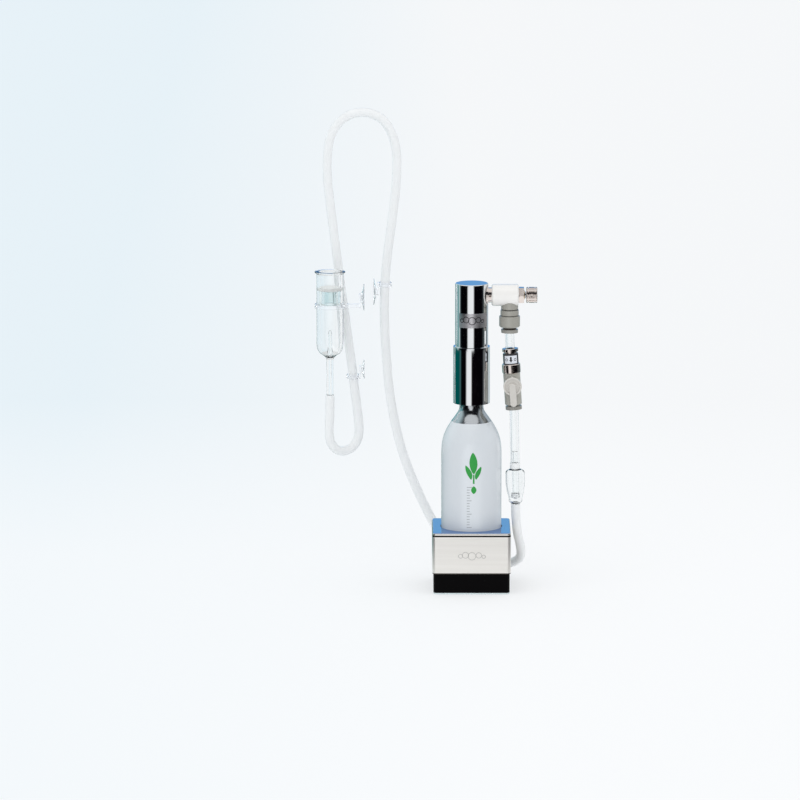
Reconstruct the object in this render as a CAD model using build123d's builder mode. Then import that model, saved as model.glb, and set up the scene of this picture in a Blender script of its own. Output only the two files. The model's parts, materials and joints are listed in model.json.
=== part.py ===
from build123d import *
from math import cos, pi, radians, sin, tan
import os

# Carbon dioxide diffusion kit for a planted aquarium: a disposable gas bottle in a
# square stand, a pressure regulator, a needle valve with an elbow, a ball valve, a glass
# check valve, and a silicone tube that climbs over the aquarium's side to a glass
# diffuser. Millimetres, +Z up, origin at the centre of the stand's base. +X points from
# the bottle to the needle valve, +Y to the back.

# ---- clearances -----------------------------------------------------------------------
GAP = 0.3            # between curved faces of pieces that move apart
RUN_FIT = 0.07       # radial, a shaft turning or sliding in its hole
SEAT_FIT = 0.05      # radial, a piece seated in another of the same body
EDGE = 0.4           # broken corners

# ---- tube -----------------------------------------------------------------------------
TUBE_R = 3.0
TUBE_BORE_R = 2.0

# ---- stand ----------------------------------------------------------------------------
STAND_SIDE = 52.0
COVER_THICK = 0.8
COVER_CORNER = 2.4
COVER_TOP = 41.4
COVER_BOTTOM = 14.0
BLOCK_INSET = 0.7
BLOCK_CORNER = 3.0
CORE_FIT = 0.1
PAD_HEIGHT = 1.0
CUSHION_HEIGHT = 1.7
BOTTLE_ROOM = 0.5    # radial, bottle in the stand's bore

# ---- bottle ---------------------------------------------------------------------------
BOTTLE_R = 20.0
BOTTLE_HEIGHT = 133.0
BOTTLE_WALL = 1.8
BOTTLE_FOOT_CORNER = 5.0
NECK_R = 7.94
NECK_LENGTH = 12.3
SHOULDER_HEIGHT = 35.1
SHOULDER_SHAPE = ((0.38, 0.885), (0.68, 0.445), (0.84, 0.115))  # share up, share out
MOUTH_R = 3.0
SEAL_CAP_R = 4.6
SEAL_CAP_THICK = 0.8
PIERCED_R = 1.5

# ---- regulator ------------------------------------------------------------------------
SLEEVE_R = 12.1
SLEEVE_HEIGHT = 38.0
THREAD_ENGAGED = 11.2
BARREL_R = 10.9
BARREL_HEIGHT = 42.2
BARREL_WALL = 3.7
BARREL_ROOF = 2.5
SPIGOT_STEP = 1.45     # radial, barrel to spigot
SPIGOT_LENGTH = 5.6
GASKET_THICK = 1.9
GASKET_BORE_R = 2.6
PIN_R = 1.15
PIN_REACH = 1.4
PIN_FLANGE_R = 4.55
PIN_FLANGE_THICK = 2.1
CHAMBER_R = 4.0
CHAMBER_HEIGHT = 8.6
FILTER_THICK = 2.0
SEAT_R = 2.6
SEAT_HEIGHT = 3.4
STEM_R = 2.2
STEM_BORE_R = 1.0
STEM_GUIDE = 8.0
PISTON_HEAD = 6.0
PISTON_TRAVEL = 0.8
SPRING_ROOM = 24.0
SPRING_INSET = 2.2     # radial, bore to the middle of the spring's wire
SPRING_WIRE_R = 0.7
SPRING_TURNS = 7
RING_WIRE_R = 0.75
VENT_R = 0.6
RIB_COUNT = 3
RIB_WIDTH = 1.2

# ---- needle valve, along +X -----------------------------------------------------------
OUTLET_DROP = 8.0    # below the barrel's top
SPOT_FACE_DEPTH = 2.0
PORT_R = 2.9
FLANGE_R = 6.2
FLANGE_THICK = 1.4
OUTLET_GASKET = 0.6
COLLAR_R = 5.0
COLLAR_LENGTH = 2.3
NIPPLE_BORE_R = 1.0
TOMMY_HOLE_R = 0.8
CONTROL_R = 7.25
CONTROL_PAST_BRANCH = 5.9
SPIGOT_INTO_CONTROL = 4.8
BRASS_R = 4.55
BRASS_NECK_R = 3.0
BRASS_NECK_LENGTH = 3.9
ORIFICE_R = 0.8
NEEDLE_R = 2.2
CROSS_PORT_R = 1.2
NUT_FLATS = 10.0
NUT_THICK = 3.5
KNOB_R = 5.3
KNOB_LENGTH = 7.3
KNOB_STAND_OFF = 5.0
FLUTE_COUNT = 16
FLUTE_R = 0.45
BRANCH_PAST_BOTTLE = 5.1

# ---- elbow and push-in fittings -------------------------------------------------------
ELBOW_NECK_R = TUBE_R + 2.65
ELBOW_MID_R = TUBE_R + 3.05
ELBOW_R = TUBE_R + 3.9
ELBOW_SPIGOT_R = 4.5
ELBOW_SPIGOT_TOP = 5.0   # these heights are below the needle valve's axis
ELBOW_NECK_END = 9.6
ELBOW_MID_END = 13.7
ELBOW_BOTTOM = 21.4
ELBOW_STOP = 10.0
COLLET_TOP = 17.6
COLLET_FLANGE_R = TUBE_R + 2.6
COLLET_FLANGE_THICK = 2.2
COLLET_PUSH = 1.2
SMALL_PUSH = 0.8
TUBE_SEAL_WIRE_R = 0.64
CHUCK_TEETH = 12
CHUCK_THICK = 0.5
CHUCK_PLAY = 0.1

# ---- ball valve, along its own leaning axis -------------------------------------------
VALVE_LEAN = 3.6
VALVE_DROP = 31.05   # from the tube's bend to the ball's centre
BEND_BELOW_AXIS = 29.2
VALVE_R = TUBE_R + 2.6
VALVE_TOP = 8.1
VALVE_BOTTOM = -13.1
VALVE_INLET_R = TUBE_R + 2.1
VALVE_INLET_TOP = 21.4
VALVE_RING_R = TUBE_R + 3.1
VALVE_RING_TOP = 14.2
VALVE_STOP_TOP = 13.2
VALVE_STOP_BOTTOM = -8.0
INLET_PLUG_LOW = 5.1
BALL_R = 3.6
WAY_R = 1.5
CAVITY_R = 4.0
CAVITY_BOTTOM = -4.6
BOSS_R = 4.6
BOSS_REACH = 6.3
HANDLE_R = 6.1
HANDLE_DISC_THICK = 1.8
HANDLE_THICK = 3.0    # at its raised lever
HANDLE_WIDTH = 4.5
HANDLE_LENGTH = 13.5
HANDLE_GROOVE = 0.6
VALVE_STEM_R = 1.5
TANG_DEPTH = 0.9
TANG_WIDTH = 1.0

# ---- check valve ----------------------------------------------------------------------
LOWER_LEAN = 1.1
LOWER_BEND_DROP = 19.75
CHECK_ABOVE_STAND = 38.8    # the glass shoulder, above the stand's top
SLEEVE_LENGTH = 4.0
SLEEVE_WALL = 1.3
CHECK_R = 6.45
CHECK_TAPER_R = 4.5
CHECK_LENGTH = 23.6
CHECK_WALL = 0.9
CHECK_WAIST = 7.2     # these are below the shoulder
CHECK_TAPER_END = 21.0
INNER_TUBE_END = 19.0
GLASS_BORE_R = 0.9
SLIT_R = 0.4
CAP_WALL = 0.7
NIPPLE_R = TUBE_BORE_R - 0.1
OUTLET_NIPPLE_R = 1.6
NIPPLE_LENGTH = 7.5
INNER_TUBE_R = 2.3
INNER_TUBE_BORE_R = 1.4
BEND_RADIUS = 100.0

# ---- diffuser -------------------------------------------------------------------------
PANE_OUTER_X = -65.3
PANE_THICK = 6.0
DIFFUSER_X = -94.4
DIFFUSER_Y = 58.0
DIFFUSER_TOP = 203.5
GLASS_R = 9.0
GLASS_WALL = 1.8
RIM_R = GLASS_R + 1.3
RIM_HEIGHT = 2.2
BULB_BOTTOM = 145.2
BULB_SHOULDER = 155.5
DISC_TOP = 193.0
DISC_THICK = 2.5
GLASS_SEAT_HEIGHT = 9.2
GLASS_SEAT_BORE_R = 3.8
STEM_GLASS_R = 2.4
STEM_GLASS_BORE_R = 0.7
TUBE_JOINT_Z = 119.3
LAST_RUN = 11.7
JOINT_NIPPLE = 6.5
NOZZLE_TIP = 163.6
NOZZLE_R = 1.4

# ---- suction clips --------------------------------------------------------------------
CUP_R = 9.0
SMALL_CUP_R = 6.5
CLIP_WALL = 1.1
CLIP_FIT = 0.35
CUP_DEPTH = 3.0
TUBE_CLIP_HEIGHT = 2.6
TUBE_CUP_SHIFT = 5.0    # height between a tube clip and its cup
DIFFUSER_CLIP_Z = 180.1
DIFFUSER_CUP_Z = 186.0

# ---- silicone tube: its route, corner by corner, chosen by hand -----------------------
# Down from the check valve, round the back of the stand on the floor, up the outside of
# the aquarium's side, over its rim, down the inside and up into the diffuser.
OUTER_CLIP_RUN = 11   # the run that the outer clip holds, counted from 0
INNER_CLIP_RUN = 23   # the run that the inner clip holds
ROUTE = [
    (29.45, 0.0, 56.3), (29.78, 0.0, 39.3), (34.0, 13.0, 22.0), (32.8, 34.0, 10.5),
    (16.0, 47.0, 2.8), (-6.0, 50.0, 6.0), (-21.5, 53.0, 26.0), (-35.2, 57.5, 52.5),
    (-46.8, 61.5, 81.0), (-54.3, 66.0, 116.0), (-57.2, 69.5, 150.0), (-58.2, 71.6, 179.0),
    (-56.8, 72.4, 206.0), (-52.8, 72.6, 235.0), (-49.4, 72.0, 263.0), (-49.6, 71.4, 289.0),
    (-59.0, 71.2, 307.0), (-79.0, 71.0, 310.6), (-94.2, 71.6, 297.0), (-97.0, 72.6, 271.0),
    (-93.4, 73.6, 240.0), (-89.4, 73.8, 208.0), (-85.2, 73.6, 176.0), (-80.6, 73.0, 143.0),
    (-77.4, 72.4, 116.0), (-75.1, 71.5, 98.4), (-74.8, 71.0, 87.6), (-80.5, 67.3, 80.1),
    (-88.8, 61.8, 79.6), (-94.6, 58.1, 86.4), (-95.2, 57.8, 97.0),
    (DIFFUSER_X, DIFFUSER_Y, TUBE_JOINT_Z - LAST_RUN), (DIFFUSER_X, DIFFUSER_Y, TUBE_JOINT_Z),
]

# ---- places worked out from the sizes above -------------------------------------------
barrel_bore_r = BARREL_R - BARREL_WALL
spigot_r = BARREL_R - SPIGOT_STEP
spring_r = barrel_bore_r - SPRING_INSET
bottle_base = PAD_HEIGHT + CUSHION_HEIGHT + GAP
bottle_top = bottle_base + BOTTLE_HEIGHT
sleeve_base = bottle_top - THREAD_ENGAGED
sleeve_top = sleeve_base + SLEEVE_HEIGHT
barrel_top = sleeve_top + BARREL_HEIGHT
gasket_top = bottle_top + GAP + GASKET_THICK
pin_top = gasket_top + PIN_FLANGE_THICK
chamber_top = pin_top + 2 * SEAT_FIT + CHAMBER_HEIGHT
guide_top = chamber_top + STEM_GUIDE
seat_top = pin_top + FILTER_THICK + SEAT_HEIGHT + 4 * SEAT_FIT
piston_base = guide_top + SPRING_ROOM
outlet_z = barrel_top - OUTLET_DROP
branch_x = BOTTLE_R + BRANCH_PAST_BOTTLE
spot_face_x = BARREL_R - SPOT_FACE_DEPTH
flange_x = spot_face_x + OUTLET_GASKET
collar_x = flange_x + FLANGE_THICK
control_x = collar_x + COLLAR_LENGTH
control_end = branch_x + CONTROL_PAST_BRANCH
brass_x = control_x + SPIGOT_INTO_CONTROL + 2 * SEAT_FIT
knob_x = control_end + KNOB_STAND_OFF
pane_inner_x = PANE_OUTER_X - PANE_THICK


def leaning_frame(origin, degrees):
    """A frame whose Z points up a chain that leans towards +X as it goes down."""
    lean = radians(degrees)
    return Plane(origin=origin, x_dir=(cos(lean), 0, sin(lean)), z_dir=(-sin(lean), 0, cos(lean)))


def along(frame, distance):
    """The point that lies a distance up a frame's Z axis."""
    return frame.origin + frame.z_dir * distance


upright = Plane.XY
control_frame = Plane(origin=(0, 0, outlet_z), x_dir=(0, 1, 0), z_dir=(1, 0, 0))
elbow_frame = Plane(origin=(branch_x, 0, outlet_z), x_dir=(1, 0, 0), z_dir=(0, 0, -1))
upper_bend = Vector(branch_x, 0, outlet_z - BEND_BELOW_AXIS)
valve_frame = leaning_frame(
    upper_bend - leaning_frame(upper_bend, VALVE_LEAN).z_dir * VALVE_DROP, VALVE_LEAN
)
lower_bend = along(valve_frame, -LOWER_BEND_DROP)
lower_run = (lower_bend.Z - COVER_TOP - CHECK_ABOVE_STAND) / cos(radians(LOWER_LEAN))
check_frame = leaning_frame(
    lower_bend - leaning_frame(lower_bend, LOWER_LEAN).z_dir * lower_run, LOWER_LEAN
)
diffuser_frame = Plane(origin=(DIFFUSER_X, DIFFUSER_Y, 0), x_dir=(1, 0, 0), z_dir=(0, 0, 1))


def section_plane(frame):
    """The half plane of a turned piece: its x is the radius and its y the frame's Z."""
    return Plane(origin=frame.origin, x_dir=frame.x_dir, z_dir=-frame.y_dir)


def turned(frame, outline):
    """A piece turned about a frame's Z axis from its (radius, height) outline."""
    with BuildPart() as piece:
        with BuildSketch(section_plane(frame)):
            with BuildLine():
                Polyline(*outline, close=True)
            make_face()
        revolve(axis=Axis(frame.origin, frame.z_dir))
    return piece


def ring(frame, inner, outer, low, high):
    """A plain ring, or a disc where the inner radius is 0."""
    return turned(frame, [(inner, low), (outer, low), (outer, high), (inner, high)])


def o_ring(frame, bore_r, wire_r, height):
    """A rubber ring of round section, its middle at a height on the frame's axis."""
    with BuildPart() as piece:
        with BuildSketch(section_plane(frame)):
            with Locations((bore_r + wire_r, height)):
                Circle(wire_r)
        revolve(axis=Axis(frame.origin, frame.z_dir))
    return piece


def tube_along(points, radii):
    """A tube swept along straight runs joined by tangent arcs."""
    with BuildPart() as piece:
        with BuildLine() as route:
            FilletPolyline(*points, radius=radii)
        with BuildSketch(Plane(origin=route.line @ 0, z_dir=route.line % 0)):
            Circle(TUBE_R)
            Circle(TUBE_BORE_R, mode=Mode.SUBTRACT)
        sweep(path=route.line)
    return piece


def save(piece, label):
    """Names a finished piece and writes its STEP file."""
    piece.part.label = label
    export_step(piece.part, "parts/" + label + ".step")


os.makedirs("parts", exist_ok=True)

# ======================================================================== stand ========
block_side = STAND_SIDE - 2 * BLOCK_INSET
inner_side = STAND_SIDE - 2 * COVER_THICK
core_side = inner_side - 2 * CORE_FIT
core_top = COVER_TOP - COVER_THICK
bore_r = BOTTLE_R + BOTTLE_ROOM

with BuildPart() as stand_pad:
    with BuildSketch():
        RectangleRounded(block_side, block_side, BLOCK_CORNER)
    extrude(amount=PAD_HEIGHT)
save(stand_pad, "stand_pad")

with BuildPart() as stand_block:
    with BuildSketch(Plane.XY.offset(PAD_HEIGHT)):
        RectangleRounded(block_side, block_side, BLOCK_CORNER)
    extrude(amount=COVER_BOTTOM - PAD_HEIGHT)
    with BuildSketch(Plane.XY.offset(COVER_BOTTOM)):
        RectangleRounded(core_side, core_side, BLOCK_CORNER)
    extrude(amount=core_top - COVER_BOTTOM)
    with BuildSketch(Plane.XY.offset(PAD_HEIGHT)):
        Circle(bore_r)
    extrude(amount=core_top - PAD_HEIGHT, mode=Mode.SUBTRACT)
save(stand_block, "stand_block")

with BuildPart() as stand_cover:
    with BuildSketch(Plane.XY.offset(COVER_BOTTOM)):
        RectangleRounded(STAND_SIDE, STAND_SIDE, COVER_CORNER)
    extrude(amount=COVER_TOP - COVER_BOTTOM)
    top_edges = stand_cover.faces().sort_by(Axis.Z)[-1].edges()
    fillet(top_edges, radius=COVER_THICK)
    with BuildSketch(Plane.XY.offset(COVER_BOTTOM)):
        RectangleRounded(inner_side, inner_side, COVER_CORNER - COVER_THICK)
    extrude(amount=core_top - COVER_BOTTOM, mode=Mode.SUBTRACT)
    with BuildSketch(Plane.XY.offset(core_top)):
        Circle(bore_r)
    extrude(amount=COVER_THICK, mode=Mode.SUBTRACT)
save(stand_cover, "stand_cover")

bottle_cushion = ring(upright, 0, bore_r - SEAT_FIT, PAD_HEIGHT, PAD_HEIGHT + CUSHION_HEIGHT)
save(bottle_cushion, "bottle_cushion")


# ======================================================================= bottle ========
def bottle_section(inset, neck_r, top):
    """Half section of the bottle, its wall drawn in by an inset."""
    body_r = BOTTLE_R - inset
    base = bottle_base + inset
    corner = BOTTLE_FOOT_CORNER - inset
    shoulder_z = bottle_top - NECK_LENGTH - SHOULDER_HEIGHT
    shape = [
        (neck_r + (body_r - neck_r) * out, shoulder_z + SHOULDER_HEIGHT * up)
        for up, out in SHOULDER_SHAPE
    ]
    neck_foot = (neck_r, bottle_top - NECK_LENGTH)
    with BuildLine() as half:
        foot = Line((0, base), (body_r - corner, base))
        bend = JernArc(foot @ 1, (1, 0), corner, 90)
        side = Line(bend @ 1, (body_r, shoulder_z))
        Spline(side @ 1, *shape, neck_foot, tangents=[(0, 1), (0, 1)])
        Polyline(neck_foot, (neck_r, top), (0, top), foot @ 0)
    return half


with BuildPart() as cartridge_bottle:
    with BuildSketch(Plane.XZ):
        add(bottle_section(0, NECK_R, bottle_top))
        make_face()
    revolve(axis=Axis.Z)
    with BuildSketch(Plane.XZ):
        add(bottle_section(BOTTLE_WALL, MOUTH_R, bottle_top))
        make_face()
    revolve(axis=Axis.Z, mode=Mode.SUBTRACT)
    with BuildSketch(Plane.XY.offset(bottle_top)):
        Circle(SEAL_CAP_R + SEAT_FIT)
    extrude(amount=-SEAL_CAP_THICK, mode=Mode.SUBTRACT)
save(cartridge_bottle, "cartridge_bottle")

cartridge_seal_cap = ring(
    upright, PIERCED_R, SEAL_CAP_R, bottle_top - SEAL_CAP_THICK, bottle_top
)
save(cartridge_seal_cap, "cartridge_seal_cap")

# ==================================================================== regulator ========
neck_bore_r = NECK_R + RUN_FIT
stem_hole_r = STEM_R + RUN_FIT
stem_ring_z = chamber_top + STEM_GUIDE / 2
stem_groove_r = stem_hole_r + 2 * RING_WIRE_R
pin_recess_r = PIN_FLANGE_R + SEAT_FIT
regulator_sleeve = turned(upright, [
    (neck_bore_r, sleeve_base), (SLEEVE_R, sleeve_base), (SLEEVE_R, sleeve_top),
    (spigot_r + SEAT_FIT, sleeve_top), (spigot_r + SEAT_FIT, guide_top),
    (stem_hole_r, guide_top), (stem_hole_r, stem_ring_z + RING_WIRE_R),
    (stem_groove_r, stem_ring_z + RING_WIRE_R), (stem_groove_r, stem_ring_z - RING_WIRE_R),
    (stem_hole_r, stem_ring_z - RING_WIRE_R), (stem_hole_r, chamber_top),
    (CHAMBER_R, chamber_top), (CHAMBER_R, pin_top + SEAT_FIT),
    (pin_recess_r, pin_top + SEAT_FIT), (pin_recess_r, gasket_top), (neck_bore_r, gasket_top),
])
save(regulator_sleeve, "regulator_sleeve")

cartridge_gasket = ring(
    upright, GASKET_BORE_R, NECK_R - SEAT_FIT, bottle_top + GAP, gasket_top
)
save(cartridge_gasket, "cartridge_gasket")

pin_tip = bottle_top - PIN_REACH
pin_bore_r = PIN_R / 3
piercing_pin = turned(upright, [
    (pin_bore_r, pin_tip), (pin_bore_r + 0.15, pin_tip), (PIN_R, pin_tip + PIN_REACH),
    (PIN_R, gasket_top), (PIN_FLANGE_R, gasket_top), (PIN_FLANGE_R, pin_top),
    (pin_bore_r, pin_top),
])
save(piercing_pin, "piercing_pin")

filter_base = pin_top + 2 * SEAT_FIT
inlet_filter = ring(
    upright, 0, CHAMBER_R - SEAT_FIT, filter_base, filter_base + FILTER_THICK
)
save(inlet_filter, "inlet_filter")

with BuildPart() as valve_seat:
    with BuildSketch(Plane.XY.offset(seat_top - SEAT_HEIGHT)):
        Circle(SEAT_R)
        with PolarLocations(SEAT_R, RIB_COUNT):
            Rectangle(2 * (CHAMBER_R - SEAT_R - SEAT_FIT) - 2 * SEAT_FIT, RIB_WIDTH)
    extrude(amount=SEAT_HEIGHT)
save(valve_seat, "valve_seat")

piston_groove_r = barrel_bore_r - 2 * RING_WIRE_R - SEAT_FIT
piston_ring_z = piston_base + PISTON_HEAD / 2
piston_r = barrel_bore_r - RUN_FIT
stem_end = seat_top + PISTON_TRAVEL + SEAT_FIT
groove_half = RING_WIRE_R + SEAT_FIT
piston = turned(upright, [
    (STEM_BORE_R, stem_end), (STEM_R - 0.6, stem_end), (STEM_R, stem_end + 0.6),
    (STEM_R, piston_base), (piston_r, piston_base), (piston_r, piston_ring_z - groove_half),
    (piston_groove_r, piston_ring_z - groove_half),
    (piston_groove_r, piston_ring_z + groove_half), (piston_r, piston_ring_z + groove_half),
    (piston_r, piston_base + PISTON_HEAD), (STEM_BORE_R, piston_base + PISTON_HEAD),
])
save(piston, "piston")

piston_ring = o_ring(upright, piston_groove_r, RING_WIRE_R - SEAT_FIT / 2, piston_ring_z)
save(piston_ring, "piston_ring")

stem_ring = o_ring(upright, STEM_R + SEAT_FIT, RING_WIRE_R - SEAT_FIT, stem_ring_z)
save(stem_ring, "stem_ring")

spring_height = SPRING_ROOM - 2 * SPRING_WIRE_R - 2 * GAP
spring_base = guide_top + SPRING_WIRE_R + SEAT_FIT
with BuildPart() as piston_spring:
    with BuildLine() as coil:
        Helix(spring_height / SPRING_TURNS, spring_height, spring_r, center=(0, 0, spring_base))
    with BuildSketch(Plane(origin=coil.line @ 0, z_dir=coil.line % 0)):
        Circle(SPRING_WIRE_R)
    sweep(path=coil.line, is_frenet=True)
save(piston_spring, "piston_spring")

spigot_base = sleeve_top - SPIGOT_LENGTH
barrel_ring_z = sleeve_top - 2 * RING_WIRE_R
barrel_groove_r = spigot_r - 2 * RING_WIRE_R
with BuildPart() as regulator_barrel:
    with BuildSketch(Plane.XZ):
        with BuildLine():
            Polyline(
                (barrel_bore_r, spigot_base), (spigot_r, spigot_base),
                (spigot_r, barrel_ring_z - groove_half),
                (barrel_groove_r, barrel_ring_z - groove_half),
                (barrel_groove_r, barrel_ring_z + groove_half),
                (spigot_r, barrel_ring_z + groove_half), (spigot_r, sleeve_top),
                (BARREL_R, sleeve_top), (BARREL_R, barrel_top - EDGE),
                (BARREL_R - EDGE, barrel_top), (0, barrel_top),
                (0, barrel_top - BARREL_ROOF), (barrel_bore_r, barrel_top - BARREL_ROOF),
                close=True,
            )
        make_face()
    revolve(axis=Axis.Z)
    with BuildSketch(control_frame.offset(spot_face_x)):
        Circle(FLANGE_R + SEAT_FIT)
    extrude(amount=BARREL_R, mode=Mode.SUBTRACT)
    with BuildSketch(control_frame.offset(spot_face_x)):
        Circle(PORT_R)
    extrude(amount=-(spot_face_x - barrel_bore_r / 2), mode=Mode.SUBTRACT)
    with BuildSketch(Plane(origin=(0, 0, guide_top + SPRING_ROOM / 2), z_dir=(0, 1, 0))):
        Circle(VENT_R)
    extrude(amount=2 * BARREL_R, mode=Mode.SUBTRACT)
save(regulator_barrel, "regulator_barrel")

barrel_ring = o_ring(upright, barrel_groove_r, RING_WIRE_R - SEAT_FIT / 2, barrel_ring_z)
save(barrel_ring, "barrel_ring")

# ================================================================= needle valve ========
outlet_gasket = ring(
    control_frame, PORT_R + SEAT_FIT, COLLAR_R + EDGE, spot_face_x, flange_x
)
save(outlet_gasket, "outlet_gasket")

stub_r = PORT_R - SEAT_FIT
spigot_end = control_x + SPIGOT_INTO_CONTROL
control_bore_r = BRASS_NECK_R + 0.8
with BuildPart() as outlet_nipple:
    with BuildSketch(section_plane(control_frame)):
        with BuildLine():
            Polyline(
                (NIPPLE_BORE_R, barrel_bore_r), (stub_r, barrel_bore_r), (stub_r, flange_x),
                (FLANGE_R, flange_x), (FLANGE_R, collar_x), (COLLAR_R, collar_x),
                (COLLAR_R, control_x), (control_bore_r, control_x),
                (control_bore_r, spigot_end), (NIPPLE_BORE_R, spigot_end), close=True,
            )
        make_face()
    revolve(axis=Axis(control_frame.origin, control_frame.z_dir))
    with Locations(Plane(origin=((collar_x + control_x) / 2, 0, outlet_z), z_dir=(0, -1, 0))):
        Cylinder(TOMMY_HOLE_R, 3 * COLLAR_R, mode=Mode.SUBTRACT)
    with BuildSketch(control_frame.offset(collar_x)):
        Circle(2 * NIPPLE_BORE_R)
    extrude(amount=COLLAR_LENGTH)
    with BuildSketch(control_frame.offset(collar_x)):
        Circle(NIPPLE_BORE_R)
    extrude(amount=COLLAR_LENGTH, mode=Mode.SUBTRACT)
save(outlet_nipple, "outlet_nipple")

with BuildPart() as control_body:
    with BuildSketch(section_plane(control_frame)):
        with BuildLine():
            Polyline(
                (control_bore_r + SEAT_FIT, control_x), (CONTROL_R - 2 * EDGE, control_x),
                (CONTROL_R, control_x + 2 * EDGE), (CONTROL_R, control_end - 2 * EDGE),
                (CONTROL_R - 2 * EDGE, control_end), (BRASS_R + SEAT_FIT, control_end),
                (BRASS_R + SEAT_FIT, spigot_end + SEAT_FIT),
                (control_bore_r + SEAT_FIT, spigot_end + SEAT_FIT), close=True,
            )
        make_face()
    revolve(axis=Axis(control_frame.origin, control_frame.z_dir))
    with BuildSketch(elbow_frame.offset(ELBOW_SPIGOT_TOP - 2 * SEAT_FIT)):
        Circle(ELBOW_SPIGOT_R + SEAT_FIT)
    extrude(amount=CONTROL_R, mode=Mode.SUBTRACT)
save(control_body, "control_body")

needle_hole_r = NEEDLE_R + RUN_FIT
seat_cone_end = brass_x + 4.6
needle_ring_x = control_end - 2.7
needle_ring_r = needle_hole_r + 0.95
with BuildPart() as needle_sleeve:
    with BuildSketch(section_plane(control_frame)):
        with BuildLine():
            Polyline(
                (ORIFICE_R, brass_x), (BRASS_R, brass_x), (BRASS_R, control_end),
                (BRASS_NECK_R, control_end), (BRASS_NECK_R, control_end + BRASS_NECK_LENGTH),
                (needle_hole_r, control_end + BRASS_NECK_LENGTH),
                (needle_hole_r, needle_ring_x + 0.7), (needle_ring_r, needle_ring_x + 0.7),
                (needle_ring_r, needle_ring_x - 0.7), (needle_hole_r, needle_ring_x - 0.7),
                (needle_hole_r, seat_cone_end), (ORIFICE_R, brass_x + 2), close=True,
            )
        make_face()
    revolve(axis=Axis(control_frame.origin, control_frame.z_dir))
    with BuildSketch(elbow_frame):
        Circle(CROSS_PORT_R)
    extrude(amount=CONTROL_R, mode=Mode.SUBTRACT)
save(needle_sleeve, "needle_sleeve")

needle_ring = o_ring(control_frame, needle_hole_r, 0.45, needle_ring_x)
save(needle_ring, "needle_ring")

needle_end = knob_x + KNOB_LENGTH / 2
flow_needle = turned(control_frame, [
    (0, brass_x + 1.6), (0.4, brass_x + 1.6), (NEEDLE_R - 0.05, seat_cone_end + 0.4),
    (NEEDLE_R, seat_cone_end + 0.6), (NEEDLE_R, needle_end), (0, needle_end),
])
save(flow_needle, "flow_needle")

nut_x = control_end + RUN_FIT
with BuildPart() as lock_nut:
    with BuildSketch(control_frame.offset(nut_x)):
        RegularPolygon(NUT_FLATS / 2, 6, major_radius=False)
        Circle(BRASS_NECK_R + RUN_FIT, mode=Mode.SUBTRACT)
    extrude(amount=NUT_THICK)
    with BuildSketch(section_plane(control_frame), mode=Mode.PRIVATE) as crown:
        with BuildLine():
            Polyline((0, nut_x), (NUT_FLATS / 2, nut_x), (NUT_FLATS / 2 + 1, nut_x + EDGE),
                     (NUT_FLATS / 2 + 1, nut_x + NUT_THICK - EDGE),
                     (NUT_FLATS / 2, nut_x + NUT_THICK), (0, nut_x + NUT_THICK), close=True)
        make_face()
    revolve(crown.sketch, axis=Axis(control_frame.origin, control_frame.z_dir),
            mode=Mode.INTERSECT)
save(lock_nut, "lock_nut")

groove = 0.5
groove_r = KNOB_R - 0.6
knob_band = KNOB_LENGTH / 6
knob_end = knob_x + KNOB_LENGTH
with BuildPart() as flow_knob:
    with BuildSketch(section_plane(control_frame)):
        with BuildLine():
            Polyline(
                (NEEDLE_R + SEAT_FIT, knob_x), (KNOB_R - EDGE, knob_x), (KNOB_R, knob_x + EDGE),
                (KNOB_R, knob_x + knob_band), (groove_r, knob_x + knob_band),
                (groove_r, knob_x + knob_band + groove), (KNOB_R, knob_x + knob_band + groove),
                (KNOB_R, knob_end - knob_band - groove), (groove_r, knob_end - knob_band - groove),
                (groove_r, knob_end - knob_band), (KNOB_R, knob_end - knob_band),
                (KNOB_R, knob_end - EDGE), (KNOB_R - EDGE, knob_end), (0, knob_end),
                (0, needle_end + SEAT_FIT), (NEEDLE_R + SEAT_FIT, needle_end + SEAT_FIT),
                close=True,
            )
        make_face()
    revolve(axis=Axis(control_frame.origin, control_frame.z_dir))
    with Locations(Plane(origin=(knob_x + KNOB_LENGTH / 2, -KNOB_R, outlet_z), z_dir=(0, -1, 0))):
        Cylinder(TOMMY_HOLE_R, 2 * (KNOB_R - NEEDLE_R - EDGE), mode=Mode.SUBTRACT)
    with BuildSketch(control_frame.offset(knob_x)):
        with PolarLocations(KNOB_R, FLUTE_COUNT, start_angle=180 / FLUTE_COUNT):
            Circle(FLUTE_R)
    extrude(amount=KNOB_LENGTH, mode=Mode.SUBTRACT)
save(flow_knob, "flow_knob")

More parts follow.
